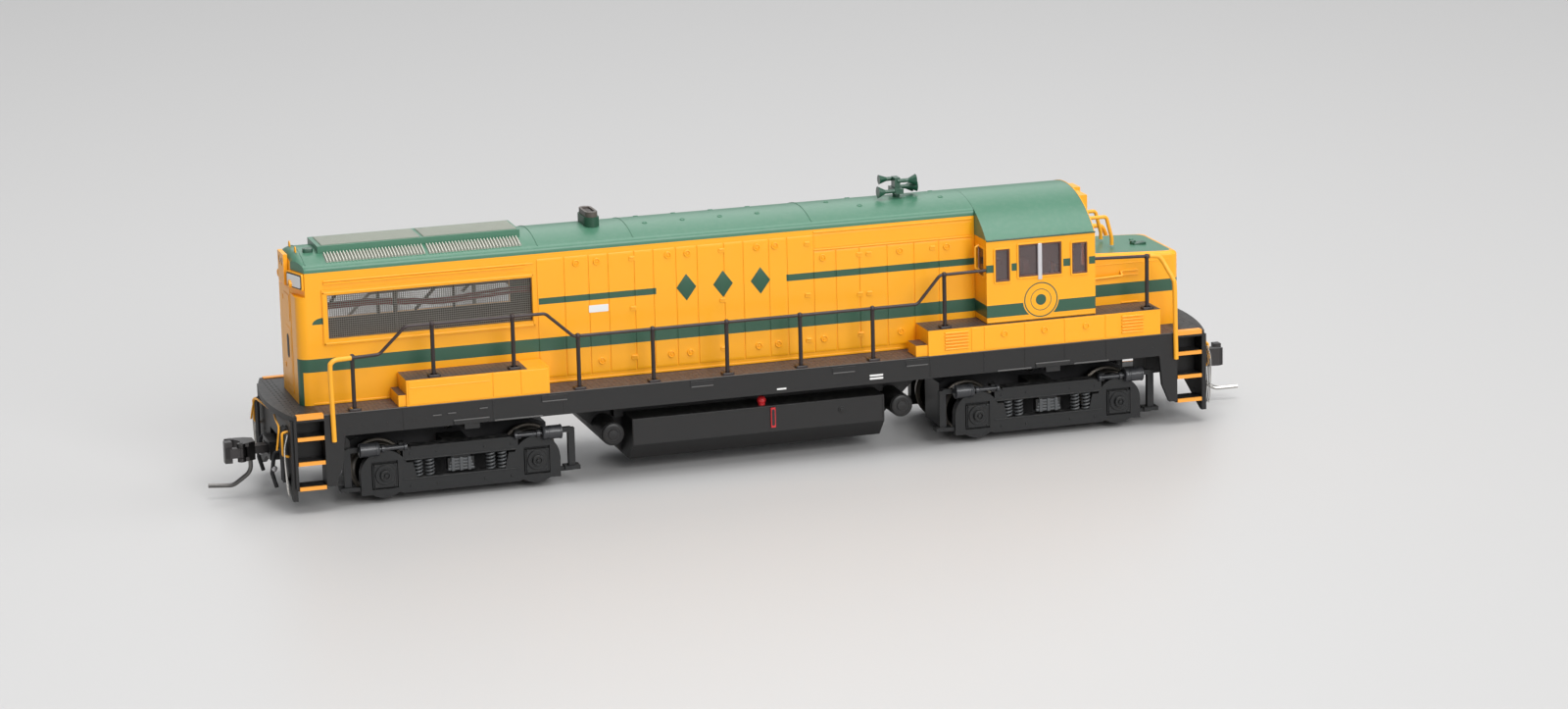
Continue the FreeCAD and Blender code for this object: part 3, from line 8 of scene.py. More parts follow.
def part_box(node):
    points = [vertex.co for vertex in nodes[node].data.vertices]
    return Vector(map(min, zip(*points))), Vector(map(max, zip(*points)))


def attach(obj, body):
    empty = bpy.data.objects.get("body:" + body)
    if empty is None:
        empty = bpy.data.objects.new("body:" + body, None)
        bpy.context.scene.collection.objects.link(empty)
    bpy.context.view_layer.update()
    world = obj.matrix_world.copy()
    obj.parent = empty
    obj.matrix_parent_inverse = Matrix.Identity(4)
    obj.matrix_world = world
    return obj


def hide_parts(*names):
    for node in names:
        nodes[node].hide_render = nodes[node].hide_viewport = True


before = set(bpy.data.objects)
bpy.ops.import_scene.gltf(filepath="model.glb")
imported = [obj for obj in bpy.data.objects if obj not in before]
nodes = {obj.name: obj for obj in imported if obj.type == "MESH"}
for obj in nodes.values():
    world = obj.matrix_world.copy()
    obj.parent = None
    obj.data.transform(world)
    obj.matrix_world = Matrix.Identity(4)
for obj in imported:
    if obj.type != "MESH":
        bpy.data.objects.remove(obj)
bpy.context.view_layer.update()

mm = 0.001


def boxOf(name):
    low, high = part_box(name)
    return np.array(low) / mm, np.array(high) / mm


# the sizes that the new pieces take from the frame, in millimetres; Z is up and the cab is at +X
hoodLow = boxOf("long_hood")[0]
cabLow, cabHigh = boxOf("cab")
noseHigh = boxOf("nose")[1]
screenLow, screenHigh = boxOf("radiator_screens")
grilleLow, grilleHigh = boxOf("radiator_roof_grilles")
stackLow, stackHigh = boxOf("exhaust_stack")
deckZ = boxOf("walkway")[1][2]
hoodSide = 9.9
cabSide = cabHigh[1]
deckSide = 18.0
roofCrest = cabHigh[2]
cabEave = 43.0
roofRadius = (cabSide ** 2 + (roofCrest - cabEave) ** 2) / (2 * (roofCrest - cabEave))
roofCentre = roofCrest - roofRadius
roofSkin = 0.5
truckX = 63.0
print("frame loaded:", len(nodes), "nodes")


# camera, light and floor
view = dict(focal=103.3, sensor=36, yaw=-16.906, pitch=13.421, roll=-1.422,
            target=(10.159, 0, 18.847), away=938.2, near=0.02, far=50)


def placeCamera():
    # back = the way from the target to the camera; right and up are then turned by the roll
    yaw, pitch, roll = (math.radians(view[k]) for k in ("yaw", "pitch", "roll"))
    back = Vector((math.sin(yaw) * math.cos(pitch), -math.cos(yaw) * math.cos(pitch),
                   math.sin(pitch)))
    right = Vector((0, 0, 1)).cross(back).normalized()
    up = back.cross(right)
    rolledRight = right * math.cos(roll) + up * math.sin(roll)
    rolledUp = up * math.cos(roll) - right * math.sin(roll)
    data = bpy.data.cameras.new("camera")
    data.sensor_width = view["sensor"]
    data.lens = view["focal"]
    data.clip_start = view["near"]
    data.clip_end = view["far"]
    cam = bpy.data.objects.new("camera", data)
    bpy.context.scene.collection.objects.link(cam)
    turn = Matrix((rolledRight, rolledUp, back)).transposed().to_4x4()
    cam.matrix_world = Matrix.Translation((Vector(view["target"])
                                           + back * view["away"]) * mm) @ turn
    bpy.context.scene.camera = cam


lamps = dict(
    above=dict(at=(0.1, -0.1, 1.25), size=1.1, watts=13.5, aim=(0, 0, 0.02)),
    front=dict(at=(0.3, -1.4, 0.75), size=0.8, watts=15, aim=(0, 0, 0.03)),
    cabEnd=dict(at=(1.35, -0.25, 0.6), size=0.8, watts=3, aim=(0, 0, 0.03)),
    behind=dict(at=(0.2, 1.2, 0.9), size=1.0, watts=4, aim=(0, 0, 0.03)),
)
skyLight = dict(colour=(0.90, 0.92, 0.95, 1), strength=0.36)


def placeLights():
    for name, lamp in lamps.items():
        data = bpy.data.lights.new(name, "AREA")
        data.size = lamp["size"]
        data.energy = lamp["watts"]
        obj = bpy.data.objects.new(name, data)
        bpy.context.scene.collection.objects.link(obj)
        obj.location = lamp["at"]
        aim = Vector(lamp["aim"]) - Vector(lamp["at"])
        obj.rotation_euler = aim.to_track_quat("-Z", "Y").to_euler()
    world = bpy.data.worlds.new("studio")
    bpy.context.scene.world = world
    world.use_nodes = True
    sky = world.node_tree.nodes["Background"]
    sky.inputs["Color"].default_value = skyLight["colour"]
    sky.inputs["Strength"].default_value = skyLight["strength"]


placeCamera()
placeLights()
bpy.context.scene.view_settings.view_transform = "Standard"
print("camera and lights placed")


# shader groups
def link(tree, source, target):
    tree.links.new(source, target)


def addNode(tree, kind, **settings):
    node = tree.nodes.new(kind)
    for key, value in settings.items():
        setattr(node, key, value)
    return node


def maths(tree, operation, *values):
    # one Math node; each value is a number or a socket
    node = addNode(tree, "ShaderNodeMath", operation=operation)
    for index, value in enumerate(values):
        if isinstance(value, (int, float)):
            node.inputs[index].default_value = value
        else:
            link(tree, value, node.inputs[index])
    return node.outputs[0]


def newGroup(name, inputs, outputs):
    tree = bpy.data.node_groups.new(name, "ShaderNodeTree")
    for label, kind, value in inputs:
        socket = tree.interface.new_socket(name=label, in_out="INPUT", socket_type=kind)
        socket.default_value = value
    for label, kind in outputs:
        tree.interface.new_socket(name=label, in_out="OUTPUT", socket_type=kind)
    return tree, addNode(tree, "NodeGroupInput"), addNode(tree, "NodeGroupOutput")


number = "NodeSocketFloat"
colour = "NodeSocketColor"


def buildBand():
    # mask = 1 where low < value < high
    tree, start, end = newGroup("band",
                                [("Value", number, 0), ("Low", number, 0), ("High", number, 1)],
                                [("Mask", number)])
    above = maths(tree, "GREATER_THAN", start.outputs["Value"], start.outputs["Low"])
    below = maths(tree, "LESS_THAN", start.outputs["Value"], start.outputs["High"])
    link(tree, maths(tree, "MULTIPLY", above, below), end.inputs["Mask"])
    return tree


def buildFinish():
    # the colour and the roughness drift by a slow noise, the height is the sum of two grains, and
    # dust lies where a surface faces up
    tree, start, end = newGroup(
        "mouldedFinish",
        [("Colour", colour, (0.5, 0.5, 0.5, 1)), ("Dust", colour, (0.6, 0.58, 0.54, 1)),
         ("Dust amount", number, 0.04), ("Drift", number, 0.05), ("Roughness", number, 0.45),
         ("Grain size", number, 3000.0)],
        [("Colour", colour), ("Roughness", number), ("Height", number)])
    spot = addNode(tree, "ShaderNodeTexCoord")
    slow, fine, speck = (addNode(tree, "ShaderNodeTexNoise") for _ in range(3))
    for noise, scale, detail in ((slow, 90, 3), (fine, 5, 2), (speck, 900, 4)):
        noise.inputs["Scale"].default_value = scale
        noise.inputs["Detail"].default_value = detail
        link(tree, spot.outputs["Object"], noise.inputs["Vector"])
    link(tree, start.outputs["Grain size"], fine.inputs["Scale"])
    swing = maths(tree, "MULTIPLY", maths(tree, "SUBTRACT", slow.outputs["Fac"], 0.5),
                  start.outputs["Drift"])
    gain = maths(tree, "ADD", 1.0, maths(tree, "MULTIPLY", swing, 2.0))
    scaled = addNode(tree, "ShaderNodeVectorMath", operation="SCALE")
    link(tree, start.outputs["Colour"], scaled.inputs[0])
    link(tree, gain, scaled.inputs["Scale"])
    facing = addNode(tree, "ShaderNodeNewGeometry")
    split = addNode(tree, "ShaderNodeSeparateXYZ")
    link(tree, facing.outputs["Normal"], split.inputs[0])
    facingUp = maths(tree, "MAXIMUM", split.outputs["Z"], 0.0)
    patch = addNode(tree, "ShaderNodeMapRange")
    patch.inputs["From Min"].default_value = 0.42
    patch.inputs["From Max"].default_value = 0.75
    link(tree, speck.outputs["Fac"], patch.inputs["Value"])
    lying = both(tree, facingUp, patch.outputs[0], start.outputs["Dust amount"])
    dusty = addNode(tree, "ShaderNodeMix", data_type="RGBA")
    link(tree, lying, dusty.inputs["Factor"])
    link(tree, scaled.outputs[0], dusty.inputs["A"])
    link(tree, start.outputs["Dust"], dusty.inputs["B"])
    link(tree, dusty.outputs["Result"], end.inputs["Colour"])
    rough = maths(tree, "ADD", start.outputs["Roughness"], maths(tree, "MULTIPLY", swing, 0.8))
    link(tree, maths(tree, "ADD", rough, maths(tree, "MULTIPLY", lying, 0.5)),
         end.inputs["Roughness"])
    grain = maths(tree, "ADD", maths(tree, "MULTIPLY", fine.outputs["Fac"], 0.6),
                  maths(tree, "MULTIPLY", speck.outputs["Fac"], 0.4))
    link(tree, grain, end.inputs["Height"])
    return tree


def place(tree):
    # the point in millimetres, and its distance from the middle line
    spot = addNode(tree, "ShaderNodeTexCoord")
    scaled = addNode(tree, "ShaderNodeVectorMath", operation="SCALE")
    scaled.inputs["Scale"].default_value = 1 / mm
    link(tree, spot.outputs["Object"], scaled.inputs[0])
    split = addNode(tree, "ShaderNodeSeparateXYZ")
    link(tree, scaled.outputs[0], split.inputs[0])
    side = maths(tree, "ABSOLUTE", split.outputs["Y"])
    return split.outputs["X"], split.outputs["Y"], split.outputs["Z"], side


def band(tree, value, low, high):
    node = addNode(tree, "ShaderNodeGroup", node_tree=bandGroup)
    link(tree, value, node.inputs["Value"])
    node.inputs["Low"].default_value = low
    node.inputs["High"].default_value = high
    return node.outputs["Mask"]


def both(tree, *masks):
    result = masks[0]
    for mask in masks[1:]:
        result = maths(tree, "MULTIPLY", result, mask)
    return result


def either(tree, *masks):
    result = masks[0]
    for mask in masks[1:]:
        result = maths(tree, "MAXIMUM", result, mask)
    return result


def outside(tree, mask):
    return maths(tree, "SUBTRACT", 1.0, mask)


def distance(tree, first, second):
    squares = maths(tree, "ADD", both(tree, first, first), both(tree, second, second))
    return maths(tree, "SQRT", squares)


def underRoof(tree, y, z):
    # mask of the space below the roof's skin, from the distance to the roof's axis
    reach = distance(tree, y, maths(tree, "SUBTRACT", z, roofCentre))
    return band(tree, reach, -1.0, roofRadius - roofSkin)


def disc(tree, first, second, centre, radius, inner=0.0):
    # mask of a ring or disc: inner < distance from the centre < radius
    across = maths(tree, "SUBTRACT", first, centre[0])
    upright = maths(tree, "SUBTRACT", second, centre[1])
    return band(tree, distance(tree, across, upright), inner if inner else -1.0, radius)


bandGroup = buildBand()
finishGroup = buildFinish()


def srgb(red, green, blue):
    value = np.array([red, green, blue]) / 255
    linear = np.where(value <= 0.04045, value / 12.92, ((value + 0.055) / 1.055) ** 2.4)
    return tuple(float(v) for v in linear) + (1.0,)


paints = dict(yellow=srgb(253, 172, 8), roofGreen=srgb(70, 122, 97), stripeGreen=srgb(40, 84, 62),
              charcoal=srgb(22, 21, 21), tread=srgb(66, 56, 55), truck=srgb(19, 20, 21),
              rail=srgb(50, 38, 38), irons=srgb(250, 175, 40), steps=srgb(248, 165, 60),
              inside=srgb(70, 64, 60), red=srgb(205, 38, 44), white=srgb(232, 232, 230),
              mesh=srgb(204, 202, 190), silver=srgb(205, 203, 205))


bumpDepth = 0.04 * mm
coatRough = 0.25


def paintMaterial(name, base, layers=None, rough=0.42, drift=0.04, dust=0.04, bump=0.12,
                  grain=2600.0,
                  metallic=0.0, coat=0.0, specular=0.5):
    # a Principled surface whose colour is base with each layer's colour where its mask is 1
    material = bpy.data.materials.new(name)
    material.use_nodes = True
    tree = material.node_tree
    shader = tree.nodes["Principled BSDF"]
    finish = addNode(tree, "ShaderNodeGroup", node_tree=finishGroup)
    finish.inputs["Colour"].default_value = base
    finish.inputs["Drift"].default_value = drift
    finish.inputs["Dust amount"].default_value = dust
    finish.inputs["Roughness"].default_value = rough
    finish.inputs["Grain size"].default_value = grain
    source = None
    if layers:
        x, y, z, side = place(tree)
        for tint, mask in layers(tree, x, y, z, side):
            mix = addNode(tree, "ShaderNodeMix", data_type="RGBA")
            link(tree, mask, mix.inputs["Factor"])
            if source is None:
                mix.inputs["A"].default_value = base
            else:
                link(tree, source, mix.inputs["A"])
            mix.inputs["B"].default_value = tint
            source = mix.outputs["Result"]
        link(tree, source, finish.inputs["Colour"])
    link(tree, finish.outputs["Colour"], shader.inputs["Base Color"])
    link(tree, finish.outputs["Roughness"], shader.inputs["Roughness"])
    bumps = addNode(tree, "ShaderNodeBump")
    bumps.inputs["Strength"].default_value = bump
    bumps.inputs["Distance"].default_value = bumpDepth
    link(tree, finish.outputs["Height"], bumps.inputs["Height"])
    link(tree, bumps.outputs["Normal"], shader.inputs["Normal"])
    shader.inputs["Metallic"].default_value = metallic
    shader.inputs["Specular IOR Level"].default_value = specular
    if coat:
        shader.inputs["Coat Weight"].default_value = coat
        shader.inputs["Coat Roughness"].default_value = coatRough
    return material


# stripes, edges and insides painted on each node, as spans of x, z or the distance from the middle
stripes = dict(low=(26.8, 29.5), high=(36.5, 37.8), ahead=(36.7, 38.1),
               behindNumber=(-44.4, -19.75), beforeNumber=(8.05, 60.0), nub=(-88.7, 2.2),
               nubEnd=-92.0, nubSquash=1.69, leg=(7.75, 9.4), legEnd=(-96.0, 1.3), wall=(9.0, 12.0))
hoodAreas = dict(roofFrom=47.0, roofInset=0.15, roofEnd=80.0, skyline=70.0, bayTop=40.0,
                 darkSide=9.3, darkInset=1.7, darkEnd=48.6, bedZ=(45.0, 50.5), bedSide=(5.4, 8.7),
                 beds=((-87.3, -67.1), (-66.3, -47.1)), bedColour=srgb(112, 120, 108))


def hoodLayers(tree, x, y, z, side):
    # stripes on the sides, a leg down each rear corner, the green roof and the dark inside
    area = hoodAreas
    wall = band(tree, side, *stripes["wall"])
    low = both(tree, band(tree, z, *stripes["low"]),
               band(tree, side, stripes["leg"][0], stripes["wall"][1]))
    legStart, legInset = stripes["legEnd"]
    leg = both(tree, band(tree, z, 0.0, stripes["low"][1]),
               band(tree, x, legStart, hoodLow[0] + legInset), band(tree, side, *stripes["leg"]))
    high = both(tree, wall, either(
        tree, both(tree, band(tree, z, *stripes["high"]), band(tree, x, *stripes["behindNumber"])),
        both(tree, band(tree, z, *stripes["ahead"]), band(tree, x, *stripes["beforeNumber"]))))
    squeezed = maths(tree, "MULTIPLY", maths(tree, "SUBTRACT", z, stripes["high"][0]),
                     stripes["nubSquash"])
    nubX, nubRadius = stripes["nub"]
    nub = both(tree, disc(tree, x, squeezed, (nubX, 0.0), nubRadius), wall,
               band(tree, z, *stripes["high"]), band(tree, x, stripes["nubEnd"], nubX))
    roofed = both(tree, band(tree, z, area["roofFrom"], area["skyline"]),
                  band(tree, x, hoodLow[0] + area["roofInset"], area["roofEnd"]))
    under = either(tree, band(tree, z, 0.0, area["bayTop"]), underRoof(tree, y, z))
    dark = both(tree, under, band(tree, side, -1.0, area["darkSide"]),
                band(tree, x, hoodLow[0] + area["darkInset"], area["darkEnd"]))
    beds = both(tree, band(tree, z, *area["bedZ"]), band(tree, side, *area["bedSide"]),
                either(tree, *(band(tree, x, *span) for span in area["beds"])))
    return [(paints["stripeGreen"], either(tree, low, leg, high, nub)),
            (paints["roofGreen"], roofed),
            (area["bedColour"], beds), (paints["inside"], dark)]


badge = dict(at=(61.0, 29.6), disc=3.95, rings=((3.45, 3.7), (2.15, 2.3)), dot=1.15)
cabAreas = dict(low=(26.65, 29.25), high=(36.2, 37.8), flank=(16.9, 18.0),
                dashes=((49.0, 50.8), (54.5, 56.2), (65.5, 67.7), (71.5, 74.0)), skyline=70.0,
                roofOut=1.0, roofInset=0.2, darkSide=16.4, dark=(49.7, 72.5), darkFrom=0.5,
                darkTop=60.0)


def cabLayers(tree, x, y, z, side):
    # two stripes, a yellow disc with rings on each side, the green roof and the dark inside
    area = cabAreas
    low = band(tree, z, *area["low"])
    flank = band(tree, side, *area["flank"])
    high = both(tree, band(tree, z, *area["high"]), flank,
                either(tree, *(band(tree, x, *span) for span in area["dashes"])))
    face = both(tree, disc(tree, x, z, badge["at"], badge["disc"]), flank)
    rings = [disc(tree, x, z, badge["at"], outer, inner) for inner, outer in badge["rings"]]
    ring = both(tree, either(tree, disc(tree, x, z, badge["at"], badge["dot"]), *rings), flank)
    roofed = both(tree, band(tree, z, cabEave, area["skyline"]),
                  band(tree, x, cabLow[0] - area["roofOut"], cabHigh[0] - area["roofInset"]))
    dark = both(tree, underRoof(tree, y, z), band(tree, side, -1.0, area["darkSide"]),
                band(tree, x, *area["dark"]),
                band(tree, z, deckZ + area["darkFrom"], area["darkTop"]))
    return [(paints["stripeGreen"], either(tree, low, high)), (paints["yellow"], face),
            (paints["stripeGreen"], ring), (paints["roofGreen"], roofed), (paints["inside"], dark)]


noseAreas = dict(stripe=(27.2, 29.8), top=(35.0, 40.0), topSide=8.9, topFrom=70.0, edge=1.1,
                 round=2.0, end=99.0, flank=12.0)


def noseLayers(tree, x, y, z, side):
    # a stripe, and a green top with two rounded corners
    area = noseAreas
    edge = noseHigh[0] - area["edge"]
    bendX, bendSide = edge - area["round"], area["topSide"] - area["round"]
    top = both(tree, band(tree, z, *area["top"]), band(tree, side, -1.0, area["topSide"]),
               band(tree, x, area["topFrom"], edge))
    corner = disc(tree, x, side, (bendX, bendSide), area["round"])
    squared = both(tree, band(tree, x, bendX, area["end"]),
                   band(tree, side, bendSide, area["flank"]))
    rounded = both(tree, top, outside(tree, both(tree, squared, outside(tree, corner))))
    return [(paints["stripeGreen"], band(tree, z, *area["stripe"])), (paints["roofGreen"], rounded)]


boxAreas = dict(top=(25.35, 26.5), bare=(-49.2, -40.0), step=(22.35, 22.5),
                steps=((-80.0, -74.12), (30.0, 35.88)))
plainAreas = dict(deckSkin=0.06, deck=(-91.5, 91.5), rearRail=(-120.0, -84.95),
                  frontRail=(85.3, 120.0), stackTop=1.72, mesh=0.6, sky=70.0, wheel=(5.85, 4.95),
                  axles=(-15.7, 15.7))


def boxLayers(tree, x, y, z, side):
    # dark treads on the boxes' tops and on the steps beside them
    steps = either(tree, *(band(tree, x, *span) for span in boxAreas["steps"]))
    tops = either(tree, both(tree, band(tree, z, *boxAreas["top"]),
                             outside(tree, band(tree, x, *boxAreas["bare"]))),
                  both(tree, band(tree, z, *boxAreas["step"]), steps))
    return [(paints["tread"], tops)]


def deckLayers(tree, x, y, z, side):
    top = band(tree, z, deckZ - plainAreas["deckSkin"], deckZ + 1)
    return [(paints["tread"], both(tree, top, band(tree, x, *plainAreas["deck"])))]


def railLayers(tree, x, y, z, side):
    ends = either(tree, band(tree, x, *plainAreas["rearRail"]),
                  band(tree, x, *plainAreas["frontRail"]))
    return [(paints["irons"], ends)]


def stackLayers(tree, x, y, z, side):
    return [(srgb(88, 80, 74),
             band(tree, z, roofCrest + plainAreas["stackTop"], plainAreas["sky"]))]


def meshLayers(tree, x, y, z, side):
    return [(srgb(146, 150, 138), band(tree, z, roofCrest + plainAreas["mesh"], plainAreas["sky"]))]


def wheelLayers(tree, x, y, z, side):
    # dark inside the tread of each of the four wheels
    height, radius = plainAreas["wheel"]
    plates = [disc(tree, x, z, (middle + axle, height), radius)
              for middle in (-truckX, truckX) for axle in plainAreas["axles"]]
    return [(srgb(34, 33, 33), either(tree, *plates))]


hoodPaint = paintMaterial("hoodPaint", paints["yellow"], hoodLayers, rough=0.38, coat=0.15)
cabPaint = paintMaterial("cabPaint", paints["yellow"], cabLayers, rough=0.38, coat=0.15)
nosePaint = paintMaterial("nosePaint", paints["yellow"], noseLayers, rough=0.38, coat=0.15)
boxPaint = paintMaterial("boxPaint", paints["yellow"], boxLayers, rough=0.4, coat=0.1)
yellowPaint = paintMaterial("yellowPaint", paints["yellow"], rough=0.38, coat=0.15)
greenPaint = paintMaterial("greenPaint", paints["roofGreen"], rough=0.4, coat=0.1)
deepGreen = paintMaterial("deepGreen", srgb(30, 78, 58), rough=0.3, coat=0.3)
deckPaint = paintMaterial("deckPaint", paints["charcoal"], deckLayers, rough=0.5, dust=0.08,
                          drift=0.1)
blackPaint = paintMaterial("blackPaint", paints["charcoal"], rough=0.45, dust=0.08, drift=0.1)
treadPaint = paintMaterial("treadPaint", paints["tread"], rough=0.5, dust=0.1, drift=0.1)
truckPaint = paintMaterial("truckPaint", paints["truck"], rough=0.5, dust=0.12, drift=0.14,
                           bump=0.25)
springPaint = paintMaterial("springPaint", srgb(76, 78, 80), rough=0.42, dust=0.15, drift=0.12)
cylinderPaint = paintMaterial("cylinderPaint", srgb(50, 51, 54), rough=0.3, dust=0.05, drift=0.1)
railPaint = paintMaterial("railPaint", paints["rail"], railLayers, rough=0.4, dust=0.02)
postPaint = paintMaterial("postPaint", srgb(44, 36, 37), rough=0.4)
# painted highlight: a lighter grey for the bars along the sills' edges, standing in for the light
# on them
sillHighlightGrey = paintMaterial("sillHighlightGrey", srgb(82, 81, 80), rough=0.4)
ironPaint = paintMaterial("ironPaint", paints["irons"], rough=0.4)
stepPaint = paintMaterial("stepPaint", paints["steps"], rough=0.45, drift=0.08)
stackPaint = paintMaterial("stackPaint", srgb(34, 76, 56), stackLayers, rough=0.45)
redPaint = paintMaterial("redPaint", paints["red"], rough=0.35)
leadRed = paintMaterial("leadRed", srgb(128, 40, 44), rough=0.4)
whitePaint = paintMaterial("whitePaint", paints["white"], rough=0.4)
meshPaint = paintMaterial("meshPaint", paints["mesh"], meshLayers, rough=0.4, drift=0.06)
screenWire = paintMaterial("screenWire", srgb(132, 128, 120), rough=0.45, metallic=0.3, drift=0.1)
silverPaint = paintMaterial("silverPaint", paints["silver"], rough=0.3, metallic=0.4)
darkInside = paintMaterial("darkInside", paints["inside"], rough=0.6)
# painted shade: a dark brown in the tone of the shaded glass, for the ring round each side window
windowShadeBrown = paintMaterial("windowShadeBrown", srgb(104, 66, 50), rough=0.35)
hosePaint = paintMaterial("hosePaint", srgb(34, 34, 36), rough=0.5)
print("paints mixed")


def metalMaterial(name, tint, rough, drift=0.08, bump=0.15, grain=4200.0):
    return paintMaterial(name, tint, rough=rough, metallic=1.0, drift=drift, bump=bump, grain=grain,
                         dust=0.03)


steel = metalMaterial("steel", srgb(186, 184, 180), 0.28)
treadSteel = paintMaterial("treadSteel", srgb(122, 116, 108), wheelLayers, rough=0.32, metallic=0.9)
couplerSteel = metalMaterial("couplerSteel", srgb(74, 72, 72), 0.4)
darkPin = metalMaterial("darkPin", srgb(112, 110, 108), 0.3)
pinSteel = metalMaterial("pinSteel", srgb(188, 186, 182), 0.25)
brass = metalMaterial("brass", srgb(205, 170, 90), 0.25)
bronze = metalMaterial("bronze", srgb(170, 120, 70), 0.32)
copper = metalMaterial("copper", srgb(190, 105, 70), 0.3)
chassisMetal = metalMaterial("chassisMetal", srgb(78, 78, 80), 0.5)
gearPlastic = paintMaterial("gearPlastic", srgb(222, 216, 200), rough=0.4)
workBlack = paintMaterial("workBlack", srgb(30, 30, 32), rough=0.45)
magnetGrey = paintMaterial("magnetGrey", srgb(52, 50, 50), rough=0.6, drift=0.15)
boardGreen = paintMaterial("boardGreen", srgb(28, 84, 50), rough=0.35, coat=0.3)


def glassMaterial(name, tint, rough, through):
    material = bpy.data.materials.new(name)
    material.use_nodes = True
    tree = material.node_tree
    shader = tree.nodes["Principled BSDF"]
    shader.inputs["IOR"].default_value = 1.49
    shader.inputs["Transmission Weight"].default_value = through
    smudge = addNode(tree, "ShaderNodeGroup", node_tree=finishGroup)
    smudge.inputs["Colour"].default_value = tint
    smudge.inputs["Roughness"].default_value = rough
    smudge.inputs["Drift"].default_value = 0.02
    smudge.inputs["Dust amount"].default_value = 0.0
    link(tree, smudge.outputs["Colour"], shader.inputs["Base Color"])
    link(tree, smudge.outputs["Roughness"], shader.inputs["Roughness"])
    return material


windowGlass = glassMaterial("windowGlass", srgb(196, 168, 166), 0.04, 0.9)
lensGlass = glassMaterial("lensGlass", srgb(245, 245, 240), 0.03, 0.85)

nodeFinish = {
    "chassis": chassisMetal, "fuel_tank": blackPaint, "air_reservoirs": blackPaint,
    "fuel_fittings": redPaint,
    "walkway": deckPaint, "step_nosings": stepPaint, "long_hood": hoodPaint, "cab": cabPaint,
    "cab_glazing": windowGlass, "nose": nosePaint, "side_boxes_left": boxPaint,
    "side_boxes_right": boxPaint,
    "handrail_left": railPaint, "handrail_right": railPaint, "exhaust_stack": stackPaint,
    "horn": deepGreen,
    "headlight_housings": yellowPaint, "headlight_lenses": lensGlass, "grab_irons": ironPaint,
    "pilot_hoses": hosePaint, "coupler_boxes": blackPaint, "motor_housing": steel,
    "motor_magnets": magnetGrey,
    "circuit_board": boardGreen, "lamp_leads": leadRed, "shell_screws": steel,
    "motor_armature": copper,
    "motor_shaft": steel, "flywheels": brass, "drive_shafts": workBlack,
    "radiator_screens": screenWire,
    "radiator_roof_grilles": meshPaint,
}
endFinish = {
    "gearbox": workBlack, "gearbox_cover": workBlack, "sideframes": truckPaint,
    "axle_bearings": bronze,
    "worm": steel, "worm_wheel": gearPlastic, "idler_inner": gearPlastic,
    "idler_outer": gearPlastic,
    "wheelset_inner": treadSteel, "wheelset_outer": treadSteel, "coupler": couplerSteel,
    "trip_pin": pinSteel, "knuckle": couplerSteel,
}
for end in ("front", "rear"):
    for part, finish in endFinish.items():
        nodeFinish[end + "_" + part] = finish
nodeFinish["rear_trip_pin"] = darkPin
for name, obj in nodes.items():
    obj.data.materials.clear()
    obj.data.materials.append(nodeFinish[name])
print("frame painted")


# how the new pieces are made
sunk = 0.05  # how deep a pad starts inside the surface that it lies on


def toObject(name, points, faces, material, body, sharp=32):
    data = bpy.data.meshes.new(name)
    data.from_pydata((np.asarray(points) * mm).tolist(), [], faces)
    data.update()
    data.materials.append(material)
    obj = bpy.data.objects.new(name, data)
    bpy.context.scene.collection.objects.link(obj)
    data.polygons.foreach_set("use_smooth", np.ones(len(data.polygons), bool))
    data.set_sharp_from_angle(angle=math.radians(sharp))
    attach(obj, body)
    return obj


def fit(name, parts, material, body="root", sharp=32):
    # joins (points, faces) pairs into one piece, each face's numbers raised by the points before it
    points = np.concatenate([p for p, _ in parts])
    faces = []
    start = 0
    for p, f in parts:
        faces += [[start + i for i in face] for face in f]
        start += len(p)
    return toObject(name, points, faces, material, body, sharp)


def flipped(faces):
    return [face[::-1] for face in faces]


def ringFaces(rings, around, count=1):
    # quads between neighbouring rings of a closed outline, for count bodies in a row
    body = np.arange(count)[:, None, None] * rings * around
    ring = np.arange(rings - 1)[None, :, None] * around
    step = np.arange(around)[None, None, :]
    after = (step + 1) % around
    quads = np.stack([body + ring + step, body + ring + after, body + ring + around + after,
                      body + ring + around + step], -1)
    return quads.reshape(-1, 4).tolist()


def closedFaces(rings, around, count=1):
    # the same with a cap on each body's first and last ring
    faces = ringFaces(rings, around, count)
    for first in range(0, count * rings * around, rings * around):
        faces.append(list(range(first + around - 1, first - 1, -1)))
        faces.append(list(range(first + (rings - 1) * around, first + rings * around)))
    return faces


def roundedRectangle(corners):
    # angle and signs of each point of an outline with rounded corners
    quarter = np.linspace(0, math.pi / 2, corners)
    angle = np.concatenate([quarter + k * math.pi / 2 for k in range(4)])
    return angle, np.repeat([1, -1, -1, 1], corners), np.repeat([1, 1, -1, -1], corners)


